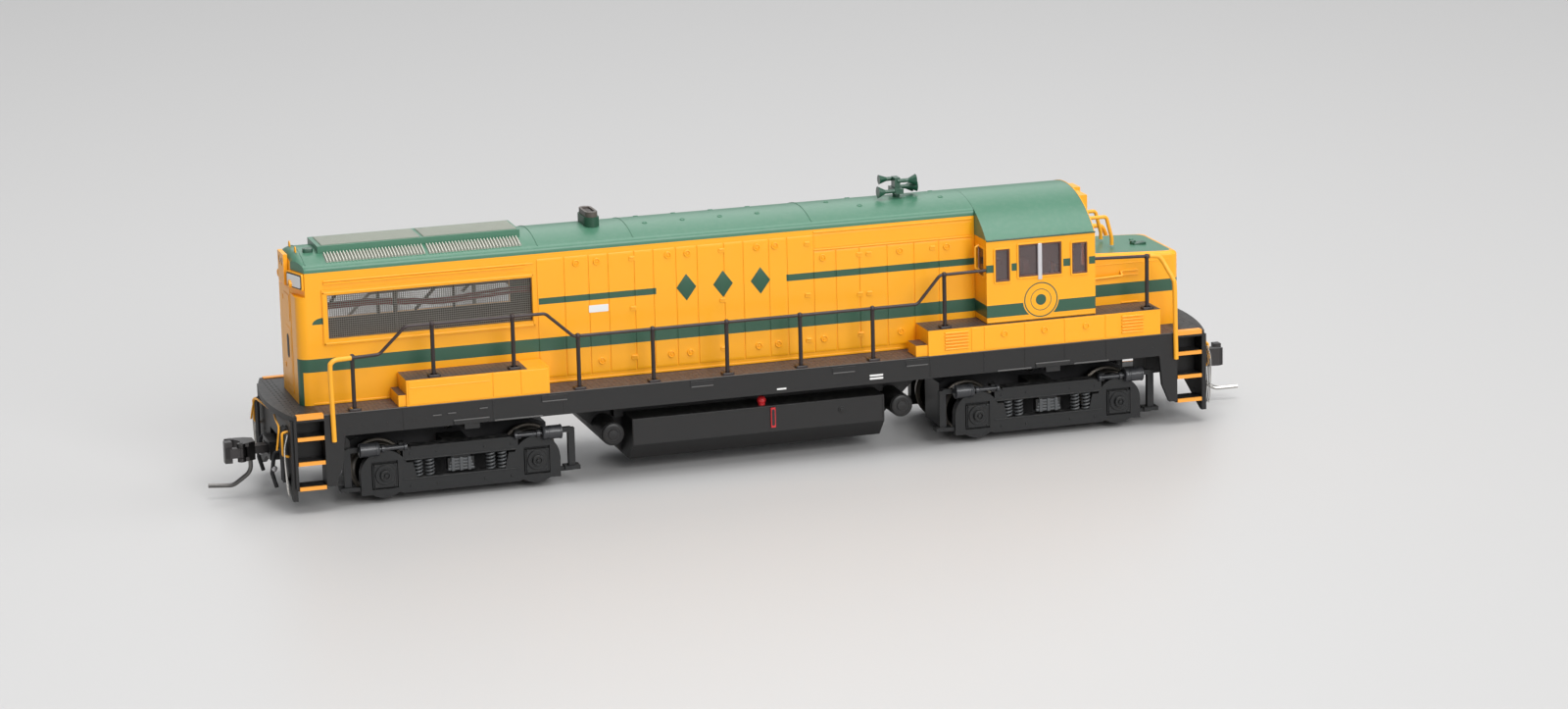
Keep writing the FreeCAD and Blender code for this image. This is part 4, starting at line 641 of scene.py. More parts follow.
def pads(rows, plane, corners=4):
    # rounded-rectangle pads: corner centre + (radius - edge (1 - cos t)) (cos a, sin a), risen by
    # height - edge (1 - sin t); a row is u0, u1, v0, v1, radius, base, height, edge, and plane
    # turns (u, v, w) into points
    rows = np.array(rows, float)
    u0, u1, v0, v1, radius, base, height, edge = rows.T
    radius = np.minimum(radius, np.minimum(u1 - u0, v1 - v0) / 2 - 1e-4)
    edge = np.minimum(edge, radius * 0.95)
    angle, signU, signV = roundedRectangle(corners)
    turn = np.array([0, 0, 0.5, 1.0]) * math.pi / 2
    drawn = edge[:, None] * (1 - np.cos(turn))[None, :]
    rise = np.stack([base, base + height - edge, base + height - edge * (1 - math.sin(math.pi / 4)),
                     base + height], 1)
    middleU, middleV = ((u0 + u1) / 2)[:, None, None], ((v0 + v1) / 2)[:, None, None]
    halfU, halfV = ((u1 - u0) / 2 - radius)[:, None, None], ((v1 - v0) / 2 - radius)[:, None, None]
    arm = (radius[:, None] - drawn)[:, :, None]
    u = middleU + signU * halfU + arm * np.cos(angle)
    v = middleV + signV * halfV + arm * np.sin(angle)
    w = np.broadcast_to(rise[:, :, None], u.shape)
    inward = 0.04  # one more ring in the plane of the top keeps its shading flat
    u = np.concatenate([u, u[:, -1:] + inward * (middleU - u[:, -1:])], 1)
    v = np.concatenate([v, v[:, -1:] + inward * (middleV - v[:, -1:])], 1)
    w = np.concatenate([w, w[:, -1:]], 1)
    faces = closedFaces(5, 4 * corners, len(rows))
    return plane(u.ravel(), v.ravel(), w.ravel()), flipped(faces) if plane.flips else faces


def rowsFor(spans, radius, base, height, edge):
    # rows of pads of one kind from the u0, u1, v0, v1 of each: corner radius, the level that they
    # start from, their height and the rounding of their edge
    return [[*span, radius, base, height, edge] for span in spans]


class Plane:
    # u, v, w go to the axes named, and w's way out has a sign
    def __init__(self, axes, way=1):
        self.way = way
        self.order = ["xyz".index(a) for a in axes]
        even = self.order in ([0, 1, 2], [1, 2, 0], [2, 0, 1])
        self.flips = (way > 0) != even

    def __call__(self, u, v, w):
        points = np.empty((len(u), 3))
        points[:, self.order[0]] = u
        points[:, self.order[1]] = v
        points[:, self.order[2]] = w * self.way
        return points


rightSide = Plane("xzy", -1)
leftSide = Plane("xzy", 1)
upward = Plane("xyz", 1)
rearward = Plane("yzx", -1)
forward = Plane("yzx", 1)


def onBothSides(rows):
    return [pads(rows, rightSide), pads(rows, leftSide)]


def tube(path, radius, around=8):
    # a round bar: path point + radius (cos a side + sin a other), ends closed by flat caps
    path = np.asarray(path, float)
    along = np.gradient(path, axis=0)
    along /= np.linalg.norm(along, axis=1)[:, None]
    guide = np.eye(3)[int(np.argmin(np.abs(along).mean(0)))]
    side = np.cross(along, guide)
    side /= np.linalg.norm(side, axis=1)[:, None]
    other = np.cross(along, side)
    angle = np.arange(around) * 2 * math.pi / around
    radius = np.broadcast_to(radius, len(path))[:, None, None]
    points = path[:, None, :] + radius * (np.cos(angle)[None, :, None] * side[:, None, :]
                                          + np.sin(angle)[None, :, None] * other[:, None, :])
    return points.reshape(-1, 3), closedFaces(len(path), around)


def smoothPath(corners, steps=10):
    # a curve through the corners: Catmull-Rom pieces, 0.5 (2 b + (c - a) t + ...)
    c = np.asarray(corners, float)
    c = np.vstack([2 * c[0] - c[1], c, 2 * c[-1] - c[-2]])
    t = np.linspace(0, 1, steps, endpoint=False)[None, :, None]
    a, b, d, e = c[:-3, None], c[1:-2, None], c[2:-1, None], c[3:, None]
    piece = 0.5 * (2 * b + (d - a) * t + (2 * a - 5 * b + 4 * d - e) * t ** 2
                   + (3 * b - a - 3 * d + e) * t ** 3)
    return np.vstack([piece.reshape(-1, 3), c[-2]])


def turnedShape(profile, at, axis, around=32):
    # a lathe shape: at + along axis + radius (cos a, sin a) for each (along, radius)
    profile = np.asarray(profile, float)
    axis = np.asarray(axis, float)
    guide = np.array([0, 0, 1.0]) if abs(axis[2]) < 0.9 else np.array([1.0, 0, 0])
    side = np.cross(axis, guide)
    side /= np.linalg.norm(side)
    other = np.cross(axis, side)
    angle = np.arange(around) * 2 * math.pi / around
    spokes = np.cos(angle)[:, None] * side + np.sin(angle)[:, None] * other
    points = (np.asarray(at, float) + profile[:, 0, None, None] * axis
              + np.maximum(profile[:, 1], 1e-4)[:, None, None] * spokes)
    return points.reshape(-1, 3), closedFaces(len(profile), around)


def roofBars(centres, lean, half, rise, taper):
    # bars bent over the roof: x +/- half, (R + rise) (sin a, cos a) for each a in lean
    corner = np.array([(-half, -0.1), (half, -0.1), (half * taper, rise), (-half * taper, rise)])
    reach = roofRadius + corner[:, 1]
    points = np.empty((len(centres), len(lean), 4, 3))
    points[..., 0] = np.asarray(centres)[:, None, None] + corner[:, 0]
    points[..., 1] = np.sin(lean)[:, None] * reach
    points[..., 2] = roofCentre + np.cos(lean)[:, None] * reach
    faces = closedFaces(len(lean), 4, len(centres))
    return points.reshape(-1, 3), flipped(faces) if lean[-1] > lean[0] else faces


# long hood
doors = dict(lines=(-44.7, -39.0, -33.9, -29.8, -24.3, -20.3, -15.5, -11.0, -5.3, -1.2, 4.3, 8.2,
                    13.9, 18.7, 23.8, 29.8, 35.7, 41.1, 48.7), gap=0.12, bottom=21.2, top=45.9,
             lowTop=42.4, lowFrom=13.0, radius=0.12, thickness=0.2, edge=0.07,
             panel=(14.0, 48.6, 43.0, 45.9), panelRadius=0.3, panelRise=0.12)


def makeDoors():
    # a thin pad for each door: x from one line to the next less the gap, risen by the thickness
    lines = np.array(doors["lines"])
    start, stop = lines[:-1] + doors["gap"], lines[1:] - doors["gap"]
    tops = np.where(start > doors["lowFrom"], doors["lowTop"], doors["top"])
    base = hoodSide - sunk
    rows = rowsFor(np.stack([start, stop, np.full(len(start), doors["bottom"]), tops], 1),
                   doors["radius"], base, doors["thickness"], doors["edge"])
    rows += rowsFor([doors["panel"]], doors["panelRadius"], base, doors["panelRise"], doors["edge"])
    fit("hoodDoors", onBothSides(rows), hoodPaint)


latches = dict(round=((-36.4, 44.4), (-32.1, 44.4), (-17.1, 44.4), (-13.0, 44.4), (1.8, 44.4),
                      (5.7, 44.4), (15.9, 41.0), (32.6, 41.0), (42.9, 41.0), (-31.6, 23.7),
                      (-16.9, 23.7), (-12.9, 23.7), (1.8, 23.7), (6.0, 23.7), (15.9, 23.9),
                      (32.6, 23.9), (42.9, 23.9)),
               square=((-24.7, 44.4), (-5.7, 44.4), (12.6, 44.2), (23.9, 41.0), (25.9, 41.0),
                       (39.8, 41.0), (-24.7, 34.0), (-5.7, 34.0), (12.6, 33.4), (23.9, 32.6),
                       (25.9, 32.6), (-24.7, 23.8), (-5.7, 23.8), (12.6, 23.9), (23.9, 24.1)),
               profile=((-0.05, 0.74), (0.18, 0.74), (0.26, 0.66), (0.26, 0.54), (0.08, 0.48),
                        (0.08, 0.34), (0.18, 0.24), (0.22, 0.0)), onDoor=0.14, halfWidth=0.7,
               halfHeight=0.5, radius=0.3, rise=0.25, edge=0.08, bar=(-0.5, 0.5, 0.12, 0.38),
               barRadius=0.12, barRise=0.45)


def makeLatches():
    # round latches are a dished ring round a low dome; square ones a pad with a handle bar across
    face = hoodSide + latches["onDoor"]
    parts = [turnedShape(latches["profile"], (x, way * face, z), (0, way, 0), 20)
             for way in (-1, 1) for x, z in latches["round"]]
    wide, high = latches["halfWidth"], latches["halfHeight"]
    plates = [(x - wide, x + wide, z - high, z + high) for x, z in latches["square"]]
    left, right, low, top = latches["bar"]
    bars = [(x + left, x + right, z + low, z + top) for x, z in latches["square"]]
    rows = rowsFor(plates, latches["radius"], face - sunk, latches["rise"], latches["edge"])
    rows += rowsFor(bars, latches["barRadius"], face - sunk, latches["barRise"], latches["edge"])
    fit("hoodLatches", parts + onBothSides(rows), hoodPaint)


ribs = dict(long=((-88.4, -45.2, 45.15), (-88.4, -45.2, 32.3), (14.0, 48.5, 46.45),
                  (14.0, 48.5, 42.75)), half=0.17, rise=0.29, footStart=2.6, footEnd=48.8,
            foot=(0.05, 0.5), footRise=0.17, frameOut=1.0, frameLow=1.1, frameHigh=0.7,
            frameEnd=0.4, bar=0.45, frameRise=0.42)


def makeHoodTrim():
    # raised lines along the hood, a sill strip at its foot, and the frame round each screen
    base = hoodSide - sunk
    half = ribs["half"]
    rows = rowsFor([(a, b, z - half, z + half) for a, b, z in ribs["long"]], 0.13, base,
                   ribs["rise"], 0.1)
    foot = (hoodLow[0] + ribs["footStart"], ribs["footEnd"], deckZ + ribs["foot"][0],
            deckZ + ribs["foot"][1])
    rows += rowsFor([foot], 0.1, base, ribs["footRise"], 0.08)
    x0, x1 = screenLow[0] - ribs["frameOut"], screenHigh[0] + ribs["frameEnd"]
    z0, z1 = screenLow[2] - ribs["frameLow"], screenHigh[2] + ribs["frameHigh"]
    bar = ribs["bar"]
    frameBars = ((x0, x1, z1 - bar, z1), (x0, x1, z0, z0 + bar), (x0, x0 + bar, z0, z1),
                 (screenHigh[0], x1, z0, z1))
    rows += rowsFor(frameBars, 0.12, base, ribs["frameRise"], 0.12)
    fit("hoodTrim", onBothSides(rows), hoodPaint)


screens = dict(pitch=0.44, wire=0.1, plane=9.15, firstColumn=0.25, firstRow=0.2)


def makeScreens():
    # upright wires and long wires cross, each a quarter of a wire off the screen's plane
    x0, x1, z0, z1 = screenLow[0], screenHigh[0], screenLow[2], screenHigh[2]
    columns = np.arange(x0 + screens["firstColumn"], x1, screens["pitch"])
    rows = np.arange(z0 + screens["firstRow"], z1, screens["pitch"])
    half = screens["wire"] / 2
    corner = np.array([(-half, -half), (half, -half), (half, half), (-half, half)])
    parts = []
    for way in (-1, 1):
        for steady, low, high, axis in ((columns, z0, z1, 2), (rows, x0, x1, 0)):
            shift = 0.5 * half * (1 if axis == 2 else -1)
            points = np.empty((len(steady), 2, 4, 3))
            points[..., 2 - axis] = steady[:, None, None] + corner[:, 0]
            points[..., 1] = screens["plane"] * way + shift + corner[:, 1]
            points[..., axis] = np.array([low, high])[:, None]
            faces = closedFaces(2, 4, len(steady))
            parts.append((points.reshape(-1, 3), faces if axis == 2 else flipped(faces)))
    obj = fit("screenMesh", parts, screenWire)
    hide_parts("radiator_screens")


braces = dict(y=8.2, foot=33.6, head=42.6, radius=0.35, leaning=((-85.5, -79.5), (-66.0, -57.0)),
              upright=(-73.6, -57.8), short=(-56.0, 36.5, -50.0), nearSide=-73.6)


def makeBraces():
    # stays inside the radiator bay: round bars from low points of the far wall to its head
    y, foot, head = braces["y"], braces["foot"], braces["head"]
    bars = [((a, y, foot), (b, y, head)) for a, b in braces["leaning"]]
    bars += [((x, y, foot), (x, y, head)) for x in braces["upright"]]
    start, low, stop = braces["short"]
    bars.append(((start, y, low), (stop, y, head)))
    bars.append(((braces["nearSide"], -y, foot), (braces["nearSide"], -y, head)))
    fit("bayBraces", [tube(np.linspace(a, b, 3), braces["radius"]) for a, b in bars], darkInside)


grilles = dict(slatPitch=0.66, slat=0.3, slatRise=0.42, slatFrom=5.35, slatTo=8.8, wirePitch=0.5,
               wire=0.16, split=-66.7, border=0.35, overrun=0.2, half=4.3, top=0.24,
               wireRise=(0.16, 0.22))


def makeRoofGrilles():
    # slats across the sloping roof, and a wire mesh on the raised housing's top
    spans = ((grilleLow[0] - grilles["overrun"], grilles["split"] - grilles["border"]),
             (grilles["split"] + grilles["border"], grilleHigh[0] + grilles["overrun"]))
    top = grilleHigh[2] - grilles["top"]
    side = grilles["half"]
    half = grilles["wire"] / 2
    parts, wires = [], []
    for x0, x1 in spans:
        centres = np.arange(x0 + 0.3, x1 - 0.1, grilles["slatPitch"])
        lean = np.arcsin(np.linspace(grilles["slatFrom"], grilles["slatTo"], 7) / roofRadius)
        parts += [roofBars(centres, lean * way, grilles["slat"] / 2, grilles["slatRise"], 0.6)
                  for way in (-1, 1)]
        across = [(c - half, c + half, -side, side)
                  for c in np.arange(x0 + 0.15, x1, grilles["wirePitch"])]
        along = [(x0, x1, c - half, c + half)
                 for c in np.arange(0.1 - side, side, grilles["wirePitch"])]
        for bars, rise in zip((across, along), grilles["wireRise"]):
            wires += rowsFor(bars, 0.07, top - 0.02, rise, 0.05)
    parts.append(pads(wires, upward, 2))
    obj = fit("roofGrilles", parts, meshPaint)
    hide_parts("radiator_roof_grilles")
    beds = rowsFor([(x0, x1, -side, side) for x0, x1 in spans], 0.2, top - 0.08, 0.09, 0.02)
    fit("grilleBeds", [pads(beds, upward)],
        paintMaterial("bedGrey", srgb(120, 132, 120), rough=0.6))


roof = dict(seams=(-91.6, -44.0, -24.0, 14.0), seamReach=9.2, seamRise=0.1, rimReach=16.6,
            rimRise=0.08, half=0.12,
            bolts=((-20, 3.5), (-12, 3.5), (-4, 3.5), (4, 3.5), (-20, -3.5), (-12, -3.5),
                   (-4, -3.5), (4, -3.5), (20, 0), (26, 4.2), (26, -4.2), (44, 3.2), (44, -3.2)),
            bolt=((-0.3, 0.55), (0.08, 0.55), (0.12, 0.48), (0.12, 0.4), (0.05, 0.36), (0.07, 0)),
            cap=((-0.4, 0.5), (0.35, 0.5), (0.5, 0.35), (0.55, 0)), capAt=(89.2, 3.4), capDown=0.9,
            eyeIn=1.6, eyeSide=3.0, eyeHalf=0.55, eyeHigh=1.1, eyeWire=0.13, plugHalf=0.9,
            plugInset=1.15, plugRise=1.9,
            vents=((87.6, 90.6, -1.9, -0.1, 0.75), (87.2, 88.4, -1.5, -0.5, 1.15)),
            rearVent=(-90.9, -88.9, -4.2, -2.8))


def makeRoofDetails():
    # seams over the hood's roof, bolt heads, lift eyes, the stack's plug and small vents
    for name, centres, reach, rise, material in (
            ("roofSeams", roof["seams"], roof["seamReach"], roof["seamRise"], greenPaint),
            ("cabRoofRim", (cabHigh[0] - 0.12,), roof["rimReach"], roof["rimRise"], yellowPaint)):
        lean = np.arcsin(np.linspace(-reach, reach, 25) / roofRadius)
        fit(name, [roofBars(centres, lean, roof["half"], rise, 0.7)], material)
    parts = []
    for x, y in roof["bolts"]:
        lean = y / roofRadius
        upright = math.sqrt(1 - lean * lean)
        parts.append(turnedShape(roof["bolt"], (x, y, roofCentre + roofRadius * upright),
                                 (0, lean, upright), 16))
    noseTop = noseHigh[2]
    parts.append(turnedShape(roof["cap"], (*roof["capAt"], noseTop - roof["capDown"]), (0, 0, 1),
                             16))
    fit("roofBolts", parts, greenPaint)
    turn = np.linspace(0, math.pi, 13)
    eyes = []
    for y in (roof["eyeSide"], -roof["eyeSide"]):
        z = roofCentre + math.sqrt(roofRadius ** 2 - y * y) - 0.1
        eyes.append(tube(np.stack([hoodLow[0] + roof["eyeIn"] + 0 * turn,
                                   y + roof["eyeHalf"] * np.cos(turn),
                                   z + roof["eyeHigh"] * np.sin(turn)], 1), roof["eyeWire"]))
    x, y = (stackLow[0] + stackHigh[0]) / 2, stackHigh[1] - roof["plugInset"]
    plug = [[x - roof["plugHalf"], x + roof["plugHalf"], -y, y, 0.85, roofCrest + 0.6,
             roof["plugRise"], 0.3]]
    fit("stackPlug", [pads(plug, upward)], paintMaterial("sootBrown", srgb(70, 64, 60), rough=0.6))
    fit("liftEyes", eyes, ironPaint)
    rows = [[*span, 0.3, noseTop - 1.0, rise, 0.15] for *span, rise in roof["vents"]]
    rows += rowsFor([roof["rearVent"]], 0.3, roofCrest - 0.7, 1.2, 0.15)
    fit("roofVents", [pads(rows, upward)], deepGreen)


rearEnd = dict(outline=(-3.6, 3.6, 21.2, 43.0), upper=(-2.9, 2.9, 36.0, 41.4),
               lower=(-2.9, 2.9, 22.4, 34.6),
               hinges=((3.3, 4.2, 25.4, 26.4), (3.3, 4.2, 39.4, 40.4)),
               window=(-1.0, 1.0, 28.0, 33.0),
               lamp=((-0.1, 0.8), (0.5, 0.8), (0.6, 0.66), (0.6, 0.5), (0.45, 0.42), (0.45, 0)),
               lampAt=(5.6, 44.4), boardStart=(-0.25, 3.9), boardEnd=(1.7, 9.75),
               boards=(("boardFrames", 0.0, 0.42, (43.5, 46.9), yellowPaint),
                       ("boardBacks", 0.25, 0.5, (43.75, 46.65), workBlack),
                       ("boardFaces", 0.5, 0.56, (44.0, 46.4), whitePaint)))


def cornerPlane(way):
    # a plane on the hood's cut-back corner: u runs from the end face out to the side
    ends = (rearEnd["boardStart"], rearEnd["boardEnd"])
    start, stop = (np.array([hoodLow[0] + x, y]) for x, y in ends)
    length = float(np.linalg.norm(stop - start))
    run = (stop - start) / length
    out = np.array([-run[1], run[0]])

    def turn(u, v, w):
        flat = start + u[:, None] * run + w[:, None] * out
        return np.stack([flat[:, 0], way * flat[:, 1], v], 1)
    turn.flips = way > 0
    turn.length = length
    return turn


def makeRearEnd():
    # door outline with hinges, oval window, marker lamps, and blank number boards on the corners
    face = -hoodLow[0]
    rows = rowsFor([rearEnd["outline"]], 0.7, face - sunk, 0.14, 0.08)
    rows += rowsFor([rearEnd["upper"]], 0.6, face + 0.05, 0.14, 0.08)
    rows += rowsFor([rearEnd["lower"]], 0.6, face + 0.05, 0.1, 0.06)
    rows += rowsFor(rearEnd["hinges"], 0.3, face - sunk, 0.3, 0.1)
    y, z = rearEnd["lampAt"]
    lamps = [turnedShape(rearEnd["lamp"], (-face, way * y, z), (-1, 0, 0), 24) for way in (-1, 1)]
    fit("rearDoor", [pads(rows, rearward)] + lamps, yellowPaint)
    fit("rearWindow", [pads(rowsFor([rearEnd["window"]], 0.95, face + 0.12, 0.1, 0.06), rearward)],
        darkInside)
    planes = [cornerPlane(way) for way in (-1, 1)]
    for name, inset, lift, (low, high), material in rearEnd["boards"]:
        rows = [[inset, planes[0].length - inset, low, high, 0.3, 0.0, lift, 0.05]]
        fit(name, [pads(rows, plane) for plane in planes], material)


makeDoors()
makeLatches()
makeHoodTrim()
makeScreens()
makeBraces()
makeRoofGrilles()
makeRoofDetails()
makeRearEnd()
print("long hood fitted")


# cab and nose
windows = dict(side=((51.3, 53.9, 34.4, 40.7), (56.4, 65.3, 35.0, 41.3), (68.2, 71.0, 34.7, 40.75)),
               front=((11.0, 15.6, 35.0, 41.0), (1.0, 7.2, 38.6, 44.4)),
               rear=((11.0, 15.6, 35.0, 41.0),), rim=0.36, proud=0.24, shadeRing=0.3, shadeRingProud=0.08,
               endRim=0.3, endProud=0.15, radius=0.12, corners=5, track=(60.35, 61.25, 33.9, 41.6))


def rim(u0, u1, v0, v1, base, width, proud, plane):
    # a window's rim: the rounded outline carried outward by width, risen to proud
    corners = windows["corners"]
    angle, signU, signV = roundedRectangle(corners)
    rings = []
    for out, high in ((-0.03, -0.35), (-0.03, proud - 0.06), (0.05, proud), (width - 0.1, proud),
                      (width, proud - 0.08), (width, -0.2)):
        radius = windows["radius"] + max(out, 0)
        u = (u0 + u1) / 2 + signU * ((u1 - u0) / 2 + out - radius) + radius * np.cos(angle)
        v = (v0 + v1) / 2 + signV * ((v1 - v0) / 2 + out - radius) + radius * np.sin(angle)
        rings.append(plane(u, v, np.full(len(u), base + high)))
    around = 4 * corners
    step = np.arange(around)
    after = (step + 1) % around
    last = (len(rings) - 1) * around
    closing = np.stack([step + last, after + last, after, step], 1)
    faces = ringFaces(len(rings), around) + closing.tolist()
    return np.concatenate(rings), faces if plane.flips else flipped(faces)


def makeWindows():
    # painted shade: a dark brown ring round each side window's opening widens the window's dark
    # look; the yellow rim stands outside it
    parts, shadeRings = [], []
    out = windows["shadeRing"]
    for plane in (rightSide, leftSide):
        for x0, x1, z0, z1 in windows["side"]:
            shadeRings.append(rim(x0, x1, z0, z1, cabSide, out + 0.05, windows["shadeRingProud"], plane))
            parts.append(rim(x0 - out, x1 + out, z0 - out, z1 + out, cabSide, windows["rim"],
                             windows["proud"], plane))
    for way in (-1, 1):
        for openings, base, plane in ((windows["front"], cabHigh[0], forward),
                                      (windows["rear"], -cabLow[0], rearward)):
            for y0, y1, z0, z1 in openings:
                low, high = sorted((way * y0, way * y1))
                parts.append(rim(low, high, z0, z1, base, windows["endRim"], windows["endProud"],
                                 plane))
    fit("windowRims", parts, yellowPaint)
    fit("windowShadeRings", shadeRings, windowShadeBrown)
    fit("windowTracks", onBothSides(rowsFor([windows["track"]], 0.2, cabSide - 0.3, 0.62, 0.1)),
        silverPaint)


cabTrim = dict(gutter=(-0.25, 0.1), gutterRise=0.3, foot=(25.55, 25.9), footRise=0.14,
               footInset=0.1)


def makeCabTrim():
    # gutters along both eaves and strips along the foot of both walls
    low, high = (cabEave + level for level in cabTrim["gutter"])
    gutter = rowsFor([(cabLow[0], cabHigh[0], low, high)], 0.12, cabSide - sunk,
                     cabTrim["gutterRise"], 0.12)
    fit("cabGutters", onBothSides(gutter), deepGreen)
    inset = cabTrim["footInset"]
    foot = (cabLow[0] + inset, cabHigh[0] - inset, *cabTrim["foot"])
    fit("cabFeet", onBothSides(rowsFor([foot], 0.12, cabSide - sunk, cabTrim["footRise"], 0.08)),
        yellowPaint)


inside = dict(floor=(50.3, 71.9, -15.8, 15.8), floorLevel=26.6, seatY=(-12.2, 12.2),
              seat=(58.5, 62.5), seatHalf=2.0, seatLevel=31.2, stem=(59.8, 61.2), stemHalf=0.6,
              stemFoot=27.0, stemRise=4.3, stand=(66.4, 68.6, -14.6, -10.6), standRise=8.2,
              backHalf=1.9, back=(32.0, 37.6), backAt=-59.6)


def makeCabInside():
    # two seats and a control stand on a floor, as padded blocks
    fit("cabFloor", [pads(rowsFor([inside["floor"]], 0.4, inside["floorLevel"], 0.5, 0.1), upward)],
        darkInside)
    rows, backs = [], []
    for y in inside["seatY"]:
        half, stem, back = inside["seatHalf"], inside["stemHalf"], inside["backHalf"]
        rows.append([*inside["seat"], y - half, y + half, 1.0, inside["seatLevel"], 1.5, 0.6])
        rows.append([*inside["stem"], y - stem, y + stem, 0.5, inside["stemFoot"],
                     inside["stemRise"], 0.1])
        backs.append(pads([[y - back, y + back, *inside["back"], 1.2, inside["backAt"], 1.4, 0.5]],
                          rearward))
    rows.append([*inside["stand"], 0.5, inside["stemFoot"], inside["standRise"], 0.4])
    fit("cabSeats", [pads(rows, upward)] + backs,
        paintMaterial("seatBrown", srgb(96, 60, 44), rough=0.6))


noseTrim = dict(louvre=(81.6, 85.4), louvres=(32.2, 31.3, 25.4, 24.5), louvreHigh=0.35,
                seam=(74.0, 74.2, 21.0, 34.0), hatch=(33.9, 34.15), hatchEnd=2.3,
                door=(-3.4, 3.4, 21.4, 33.4), latch=(2.2, 3.0, 27.4, 28.2),
                boards=((-7.9, -3.0, 45.1, 48.3), (3.0, 7.9, 45.1, 48.3)), boardsAhead=1.6)


def makeNoseTrim():
    # louvres and hatch lines on the nose, a front door with its latch, and blank front boards
    base = hoodSide - sunk
    louvres = [(*noseTrim["louvre"], z, z + noseTrim["louvreHigh"]) for z in noseTrim["louvres"]]
    seams = (noseTrim["seam"],
             (noseTrim["seam"][0], noseHigh[0] - noseTrim["hatchEnd"], *noseTrim["hatch"]))
    rows = rowsFor(louvres, 0.15, base, 0.3, 0.14) + rowsFor(seams, 0.1, base, 0.13, 0.06)
    face = noseHigh[0]
    door = rowsFor([noseTrim["door"]], 0.6, face - sunk, 0.14, 0.08)
    door += rowsFor([noseTrim["latch"]], 0.3, face + 0.05, 0.3, 0.1)
    fit("noseTrim", onBothSides(rows) + [pads(door, forward)], nosePaint)
    boards = rowsFor(noseTrim["boards"], 0.3, cabHigh[0] + noseTrim["boardsAhead"], 0.2, 0.05)
    fit("frontBoards", [pads(boards, forward)], whitePaint)


makeWindows()
makeCabTrim()
makeCabInside()
makeNoseTrim()
print("cab and nose fitted")


# side boxes and deck
boxes = dict(louvres=((39.4, 44.7), (78.5, 83.5)), rows=6, firstRow=20.95, pitch=0.68, slat=0.4,
             covers=((45.2, 48.0, 56.9, 65.7, 74.8, 78.0), (-73.9, -56.5, -50.7, -44.9)), gap=0.11,
             levels=(20.3, 25.15), line=(-73.4, -57.0, 23.6, 23.85), latches=(52.5, 61.4, 70.6),
             latchZ=23.3,
             latch=((-0.05, 0.72), (0.2, 0.72), (0.28, 0.64), (0.28, 0.5), (0.1, 0.44), (0.14, 0)))


def makeBoxTrim():
    # louvres as rows of rounded pads, thin covers with seams between them, and round latches
    face = deckSide - 0.05
    levels = boxes["firstRow"] + boxes["pitch"] * np.arange(boxes["rows"])
    rows = rowsFor([(x0, x1, z, z + boxes["slat"]) for x0, x1 in boxes["louvres"] for z in levels],
                   0.19, face - sunk, 0.42, 0.18)
    covers = [(a + boxes["gap"], b - boxes["gap"], *boxes["levels"])
              for edges in boxes["covers"] for a, b in zip(edges[:-1], edges[1:])]
    rows += rowsFor(covers, 0.15, face - sunk, 0.17, 0.06)
    rows += rowsFor([boxes["line"]], 0.1, face + 0.02, 0.16, 0.08)
    parts = onBothSides(rows)
    parts += [turnedShape(boxes["latch"], (x, way * (face + 0.1), boxes["latchZ"]), (0, way, 0), 20)
              for way in (-1, 1) for x in boxes["latches"]]
    fit("boxTrim", parts, yellowPaint)


treads = dict(pitch=0.9, length=0.62, width=0.2, rise=0.08, boxTop=25.4, side=(10.2, 17.7),
              deck=((-91.0, -76.0), (-44.4, 32.2), (87.6, 90.8)),
              boxes=((-73.8, -49.6), (36.1, 48.9), (73.5, 87.0)),
              ends=((-97.6, -94.6), (95.6, 97.6)), endHalf=16.6)


def diamonds(x0, x1, y0, y1, z):
    # lozenge treads in a chequer: every other one turned by a right angle, four faces up to a point
    xs = np.arange(x0 + 0.5, x1 - 0.3, treads["pitch"])
    ys = np.arange(y0 + 0.5, y1 - 0.3, treads["pitch"])
    gx, gy = (grid.ravel() for grid in np.meshgrid(xs, ys, indexing="ij"))
    turned = (np.add.outer(np.arange(len(xs)), np.arange(len(ys))) % 2).ravel()
    long = np.where(turned, treads["width"], treads["length"]) / 2
    wide = np.where(turned, treads["length"], treads["width"]) / 2
    points = np.empty((len(gx), 5, 3))
    for index, (a, b) in enumerate(((1, 0), (0, 1), (-1, 0), (0, -1))):
        points[:, index] = np.stack([gx + a * long, gy + b * wide, np.full(len(gx), z - 0.02)], 1)
    points[:, 4] = np.stack([gx, gy, np.full(len(gx), z + treads["rise"])], 1)
    base = np.arange(len(gx))[:, None] * 5
    sides = np.concatenate([base + np.array(t)
                            for t in ((0, 1, 4), (1, 2, 4), (2, 3, 4), (3, 0, 4))])
    return points.reshape(-1, 3), sides.tolist() + (base + np.array((3, 2, 1, 0))).tolist()


def makeTreads():
    parts = []
    for way in (-1, 1):
        low, high = sorted(way * y for y in treads["side"])
        for spans, z in ((treads["deck"], deckZ), (treads["boxes"], treads["boxTop"])):
            parts += [diamonds(x0, x1, low, high, z) for x0, x1 in spans]
    fit("treadPattern", parts, treadPaint, sharp=10)
    half = treads["endHalf"]
    fit("endTreads", [diamonds(x0, x1, -half, half, deckZ) for x0, x1 in treads["ends"]],
        blackPaint,
        sharp=10)


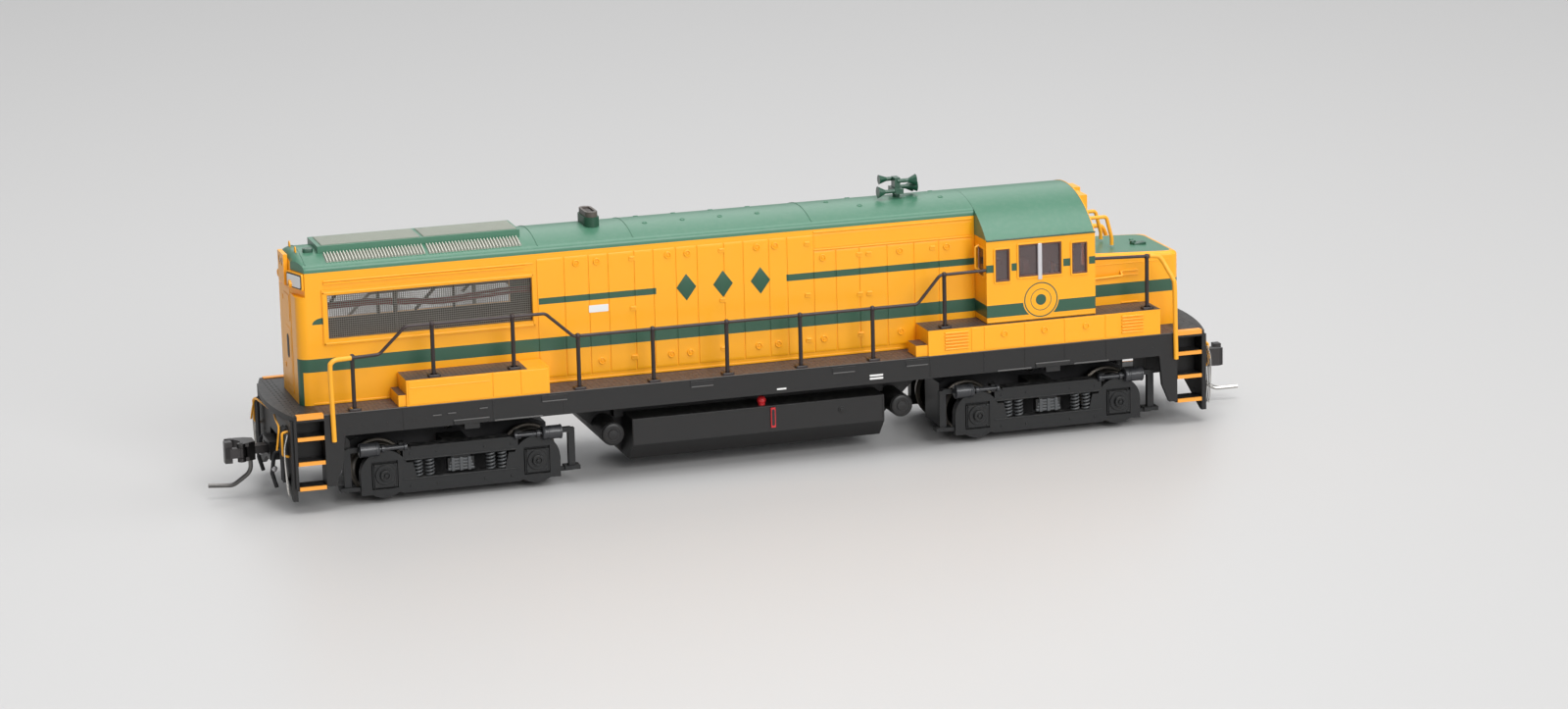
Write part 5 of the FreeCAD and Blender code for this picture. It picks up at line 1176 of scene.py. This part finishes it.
posts = dict(deck=((-84.5, 30.6), (-38.2, 30.6), (-22.6, 30.6), (-7.0, 30.6), (8.7, 30.6),
                   (24.3, 30.6)), box=((-68.1, 35.8), (-51.6, 35.8), (40.0, 36.3), (84.8, 36.2)),
             line=16.6, footHalf=(1.25, 0.95), footRise=0.5, sleeve=0.42, bar=0.5,
             rearEnd=((-89.2, 18.38, 14.4), (-89.3, 18.38, 22.0), (-89.38, 18.38, 29.2),
                      (-89.1, 18.36, 30.4), (-88.2, 18.2, 30.92), (-86.6, 17.9, 30.95),
                      (-84.95, 17.63, 30.95)),
             frontEnd=((90.6, 18.38, 14.4), (90.45, 18.38, 22.0), (90.32, 18.38, 30.0),
                       (90.0, 18.15, 31.7), (89.2, 17.6, 33.4), (88.35, 16.98, 35.2),
                       (87.6, 16.7, 36.25), (86.6, 16.62, 36.55), (85.4, 16.6, 36.62)))


def makePosts():
    # a foot and a sleeve for each post of the handrail, and the thick bent bars at its ends
    parts, feet = [], []
    wide, deep = posts["footHalf"]
    for group, base in ((posts["deck"], deckZ), (posts["box"], treads["boxTop"])):
        for x, level in group:
            for way in (-1, 1):
                y = way * posts["line"]
                feet.append([x - wide, x + wide, y - deep, y + deep, 0.25, base, posts["footRise"],
                             0.15])
                parts.append(tube([(x, y, base + 0.3), (x, y, (base + level) / 2), (x, y, level)],
                                  posts["sleeve"], 10))
    fit("railPosts", parts + [pads(feet, upward)], postPaint)
    bars = [tube(smoothPath(line, 6) * (1, way, 1), posts["bar"], 12)
            for line in (posts["rearEnd"], posts["frontEnd"]) for way in (-1, 1)]
    fit("railEnds", bars, ironPaint)


sills = dict(labels=((3.0, 5.0, 16.0, 16.35), (23.0, 25.9, 16.9, 17.3), (23.0, 25.9, 16.25, 16.65)),
             ledges=((-69.0, -67.2, 17.6), (-65.9, -64.2, 17.75), (-59.4, -57.7, 18.15)),
             ledge=0.22, pads=((-64.8, -57.4), (59.3, 66.9)), pad=(15.35, 16.3),
             padEdge=(16.15, 16.4), jack=(-1.5, 1.7, 14.2, 15.6),
             strips=((-56.4, -46.4), (50.9, 58.4), (67.8, 75.6)), strip=(15.32, 15.65),
             flaps=((-46.6, -41.0), (-15.4, -10.3), (14.9, 20.0), (30.8, 35.9)), flap=(18.3, 19.6),
             flapEdge=(18.25, 18.5), seams=(-75.0, -56.6, -42.0, 36.2, 48.0, 57.0, 65.8, 75.0),
             seamHalf=0.09, seam=(15.5, 19.9), top=(-88.0, 88.0, 19.72, 19.98),
             line=(-96.0, 96.0, 19.86, 19.99), rivets=((-86.0, -70.0), (70.0, 87.0)),
             rivetPitch=2.6, rivetHalf=0.16, rivetZ=(17.0, 17.32))


def makeSillTrim():
    # plates, flaps and lines on both sills, with rivet heads, and a jacking pad under each bolster;
    # the bars at the pads' and flaps' edges, the strips, the ledges and the long line are painted a
    # lighter grey, a painted highlight
    face = deckSide - 0.05
    edges = rowsFor([(*x, *sills["padEdge"]) for x in sills["pads"]], 0.1, face, 0.34, 0.08)
    edges += rowsFor([(*x, *sills["strip"]) for x in sills["strips"]], 0.1, face, 0.25, 0.1)
    edges += rowsFor([(a + 0.2, b - 0.2, *sills["flapEdge"]) for a, b in sills["flaps"]],
                     0.1, face, 0.24, 0.08)
    edges += rowsFor([(a, b, z, z + sills["ledge"]) for a, b, z in sills["ledges"]], 0.08, face,
                     0.3, 0.08)
    edges += rowsFor([sills["line"]], 0.06, face, 0.16, 0.05)
    rows = rowsFor([(*x, *sills["pad"]) for x in sills["pads"]], 0.15, face, 0.3, 0.1)
    left, right, low, high = sills["jack"]
    middles = [(a + b) / 2 for a, b in sills["pads"]]
    rows += rowsFor([(m + left, m + right, low, high) for m in middles], 0.2, face - 1.2, 1.3, 0.1)
    rows += rowsFor([(*x, *sills["flap"]) for x in sills["flaps"]], 0.12, face, 0.16, 0.08)
    half = sills["seamHalf"]
    rows += rowsFor([(x - half, x + half, *sills["seam"]) for x in sills["seams"]], 0.08, face,
                    0.11, 0.05)
    rows += rowsFor([sills["top"]], 0.1, face, 0.14, 0.08)
    half = sills["rivetHalf"]
    heads = np.concatenate([np.arange(*span, sills["rivetPitch"]) for span in sills["rivets"]])
    rows += rowsFor([(x - half, x + half, *sills["rivetZ"]) for x in heads], 0.15, face, 0.13, 0.1)
    fit("sillTrim", onBothSides(rows), blackPaint)
    fit("sillHighlightEdges", onBothSides(edges), sillHighlightGrey)
    fit("sillMarks", onBothSides(rowsFor(sills["labels"], 0.06, face + 0.04, 0.06, 0.03)),
        whitePaint)


makeBoxTrim()
makeTreads()
makePosts()
makeSillTrim()
print("boxes, treads and sills fitted")


# markings on the sides: a plain row of lozenges and a blank plate
marks = dict(lozenges=(-13.35, -5.55, 2.45), z=37.4, half=(2.1, 2.8), onDoor=0.16,
             rings=((1.0, -0.1), (1.0, 0.02), (0.97, 0.04)), plate=(-34.0, -29.9, 33.9, 35.4))


def makeMarks():
    # lozenges |x| / a + |z| / b < 1 as thin raised plates where a number would be
    parts = []
    ring = np.array([(1, 0), (0, 1), (-1, 0), (0, -1)]) * marks["half"]
    for way in (-1, 1):
        for x in marks["lozenges"]:
            points = [np.stack([x + scale * ring[:, 0],
                                np.full(4, way * (hoodSide + marks["onDoor"] + high)),
                                marks["z"] + scale * ring[:, 1]], 1) for scale,
                      high in marks["rings"]]
            faces = closedFaces(3, 4)
            parts.append((np.concatenate(points), flipped(faces) if way > 0 else faces))
    fit("sideLozenges", parts, paintMaterial("markGreen", paints["stripeGreen"], rough=0.4))
    fit("blankPlates", onBothSides(rowsFor([marks["plate"]], 0.15, hoodSide + 0.1, 0.09, 0.03)),
        whitePaint)


makeMarks()
print("markings fitted")


# trucks
springs = dict(at=(-8.7, -6.3, 6.3, 8.7), face=14.4, bottom=4.45, top=8.45, radius=0.82, wire=0.2,
               turns=5.5)


def makeSprings(end, centre):
    # helices: (r cos t, r sin t) round the spring's line while z climbs from bottom to top
    turn = np.linspace(0, 1, 88)
    angle = turn * springs["turns"] * 2 * math.pi
    height = springs["bottom"] + turn * (springs["top"] - springs["bottom"])
    parts = []
    for way in (-1, 1):
        for x in springs["at"]:
            path = np.stack([centre + x + springs["radius"] * np.cos(angle),
                             way * springs["face"] + springs["radius"] * np.sin(angle), height], 1)
            parts.append(tube(path, springs["wire"], 6))
    fit(end + "Springs", parts, springPaint, body=end + "_truck")


truck = dict(axles=(-15.7, 15.7), axleZ=5.85, face=15.4,
             cover=((0.1, 2.05), (0.5, 2.05), (0.62, 1.95), (0.62, 1.6), (0.5, 1.5), (0.5, 1.2),
                    (1.15, 1.12), (1.25, 1.0), (1.25, 0.72), (0.95, 0.62), (0.95, 0.36),
                    (1.35, 0.3), (1.4, 0.0)),
             barrel=((-2.1, 0.9), (-2.05, 1.3), (-1.85, 1.42), (-1.4, 1.42), (-1.3, 1.32),
                     (-0.9, 1.32), (-0.85, 1.38), (1.5, 1.38), (1.55, 1.46), (1.85, 1.46),
                     (1.95, 1.3), (2.05, 0.8), (2.1, 0.0)), barrelAt=(3.2, 0.45, 11.35),
             rod=((0.0, 0.42), (0.6, 0.42), (0.65, 0.75), (1.2, 0.75), (1.25, 0.45), (5.2, 0.4),
                  (5.25, 0.7), (5.8, 0.7), (5.85, 0.0)), rodAt=(1.2, 0.35, 11.3),
             bolts=((-2.0, -2.3), (2.0, -2.3), (-2.0, 2.05), (2.0, 2.05)),
             guides=((-2.55, -2.25), (2.25, 2.55)), guide=(3.2, 8.0),
             rivets=(-10.4, -4.9, 4.9, 10.4),
             lines=((-12.0, 12.0, 4.25, 4.55), (-11.6, 11.6, 8.3, 8.6)), leaves=4, leaf=2.75,
             leafStep=0.22, leafZ=5.35, leafPitch=0.62, clips=(-1.7, 0.0, 1.7))


def makeTruckTrim(end, centre):
    # journal covers turned from stepped profiles, bolt heads, brake cylinders and the leaf springs
    parts, shiny, rows = [], [], []
    face, axleZ = truck["face"], truck["axleZ"]
    for axle in truck["axles"]:
        x = centre + axle
        outer = 1 if axle > 0 else -1
        for way in (-1, 1):
            parts.append(turnedShape(truck["cover"], (x, way * face, axleZ), (0, way, 0), 32))
            for profile, (ahead, proud,
                          z), axis, around in ((truck["barrel"], truck["barrelAt"], outer, 32),
                                                             (truck["rod"], truck["rodAt"], -outer,
                                                              20)):
                shiny.append(turnedShape(profile, (x + outer * ahead, way * (face + proud), z),
                                         (axis, 0, 0),
                                         around))
        rows += rowsFor([(x + dx - 0.22, x + dx + 0.22, axleZ + dz - 0.22, axleZ + dz + 0.22)
                         for dx, dz in truck["bolts"]], 0.2, face + 0.25, 0.25, 0.1)
        rows += rowsFor([(x + a, x + b, *truck["guide"]) for a, b in truck["guides"]],
                        0.1, face - 0.1, 0.3, 0.08)
    for x in truck["rivets"]:
        x += centre
        rows.append([x - 0.25, x + 0.25, 2.7, 3.2, 0.2, face - sunk, 0.2, 0.1])
        rows.append([x - 0.2, x + 0.2, 9.4, 9.8, 0.15, face - sunk, 0.2, 0.1])
    rows += rowsFor([(centre + a, centre + b, low, high) for a, b, low, high in truck["lines"]],
                    0.1, face - sunk, 0.16, 0.08)
    leaves = []
    for index in range(truck["leaves"]):
        reach = truck["leaf"] - truck["leafStep"] * index
        z = truck["leafZ"] + truck["leafPitch"] * index
        leaves.append([centre - reach, centre + reach, z, z + 0.5, 0.2, face - 0.3, 0.4, 0.12])
    leaves += rowsFor([(centre + x - 0.35, centre + x + 0.35, 5.2, 7.9) for x in truck["clips"]],
                      0.15, face - 0.3, 0.62, 0.12)
    for name, pieces, material in (("LeafSprings", onBothSides(leaves), springPaint),
                                   ("TruckTrim", parts + onBothSides(rows), truckPaint),
                                   ("BrakeCylinders", shiny, cylinderPaint)):
        fit(end + name, pieces, material, body=end + "_truck")


for end, centre in (("front", truckX), ("rear", -truckX)):
    makeSprings(end, centre)
    makeTruckTrim(end, centre)
print("trucks fitted")


# tank and end fittings
tank = dict(reservoirs=(-31.0, 31.0), reservoirAt=(14.3, 9.2),
            endCap=((0.0, 2.3), (0.25, 2.2), (0.4, 1.9), (0.4, 1.55), (0.25, 1.45), (0.25, 1.15),
                    (0.45, 1.0), (0.5, 0.3), (0.55, 0.0)), side=14.95,
            rail=(-26.9, 26.9, 11.75, 12.0),
            ends=((-26.9, -26.6, 6.7, 11.9), (26.6, 26.9, 6.7, 11.9)),
            plate=(17.0, 18.5, 9.0, 10.5), plug=(17.35, 18.15, 9.35, 10.15), cap=0.95,
            capAt=(13.5, 13.1), gauge=(2.58, 3.22, 7.85, 11.35), gaugeFace=15.33)


def makeTankTrim():
    # rings on the reservoirs' ends, the tank's edges, the fillers' caps and the gauges' glasses
    y, z = tank["reservoirAt"]
    parts = [turnedShape(tank["endCap"], (x, way * y, z), (0, way, 0), 32)
             for x in tank["reservoirs"] for way in (-1, 1)]
    rows = rowsFor([tank["rail"]], 0.1, tank["side"], 0.16, 0.08)
    rows += rowsFor(tank["ends"], 0.1, tank["side"], 0.14, 0.06)
    rows += rowsFor([tank["plate"]], 0.7, tank["side"], 0.2, 0.1)
    rows += rowsFor([tank["plug"]], 0.35, tank["side"] + 0.15, 0.2, 0.1)
    fit("tankTrim", parts + onBothSides(rows), blackPaint)
    turn = np.linspace(0, math.pi, 14)
    ball = np.stack([-tank["cap"] * np.cos(turn), tank["cap"] * np.sin(turn)], 1)
    y, z = tank["capAt"]
    fit("fillerCaps",
        [turnedShape(ball, (-way * tank["cap"], way * y, z), (0, 0, 1), 24) for way in (-1, 1)],
        redPaint)
    x0, x1, z0, z1 = tank["gauge"]
    fit("gaugeGlasses", [pads(rowsFor([span], 0.3, tank["gaugeFace"], 0.06, 0.03), plane)
                         for span, plane in (((x0, x1, z0, z1), rightSide),
                                             ((-x1, -x0, z0, z1), leftSide))],
        workBlack)


# wires and levers as (x, y, z) with x and y measured outwards
hoses = dict(wires=3, wireAt=(98.4, 15.7), wireStep=(0.12, 0.55), wire=0.13,
             wirePath=((-0.3, 0.0, 16.2), (0.4, 0.1, 13.0), (0.2, 0.1, 8.0), (-0.1, 0.0, 3.9)),
             hand=((-0.7, 0.3), (-0.5, 0.6), (0.1, 0.65), (0.4, 0.45), (0.6, 0.2), (0.65, 0)),
             handAt=(99.6, 7.2, 7.1), handLean=(0.5, -0.866), lever=0.2,
             leverPath=((98.2, 3.0, 17.2), (98.9, 8.0, 17.4), (99.2, 12.6, 17.0),
                        (99.6, 13.6, 15.0), (100.0, 13.8, 12.6)))


def makeHoses():
    # fine wires, glad hands and cut levers at each pilot: curves through a few points, turned ends
    wires, hands, levers = [], [], []
    for end in (-1, 1):
        for way in (-1, 1):
            for index in range(hoses["wires"]):
                path = np.array(hoses["wirePath"])
                path[:, :2] += np.array(hoses["wireAt"]) + index * np.array(hoses["wireStep"])
                path[2, 2] -= index
                wires.append(tube(smoothPath(path * (end, way, 1)), hoses["wire"], 6))
            x, y, z = hoses["handAt"]
            forth, down = hoses["handLean"]
            hands.append(turnedShape(hoses["hand"], (end * x, way * y, z), (end * forth, 0, down),
                                     16))
            levers.append(tube(smoothPath(np.array(hoses["leverPath"]) * (end, way, 1)),
                               hoses["lever"]))
    fit("pilotWires", wires, pinSteel)
    fit("gladHands", hands, silverPaint)
    fit("cutLevers", levers, ironPaint)


makeTankTrim()
makeHoses()
print("tank and ends fitted")


# floor
studio = dict(corners=((-6, -4, 0), (6, -4, 0), (6, 9, 0), (-6, 9, 0)), colour=srgb(194, 193, 192),
              rough=0.42, specular=0.35)


def makeFloor():
    data = bpy.data.meshes.new("floor")
    data.from_pydata(studio["corners"], [], [(0, 1, 2, 3)])
    material = bpy.data.materials.new("studioFloor")
    material.use_nodes = True
    shader = material.node_tree.nodes["Principled BSDF"]
    shader.inputs["Base Color"].default_value = studio["colour"]
    shader.inputs["Roughness"].default_value = studio["rough"]
    shader.inputs["Specular IOR Level"].default_value = studio["specular"]
    data.materials.append(material)
    floor = bpy.data.objects.new("floor", data)
    bpy.context.scene.collection.objects.link(floor)


makeFloor()
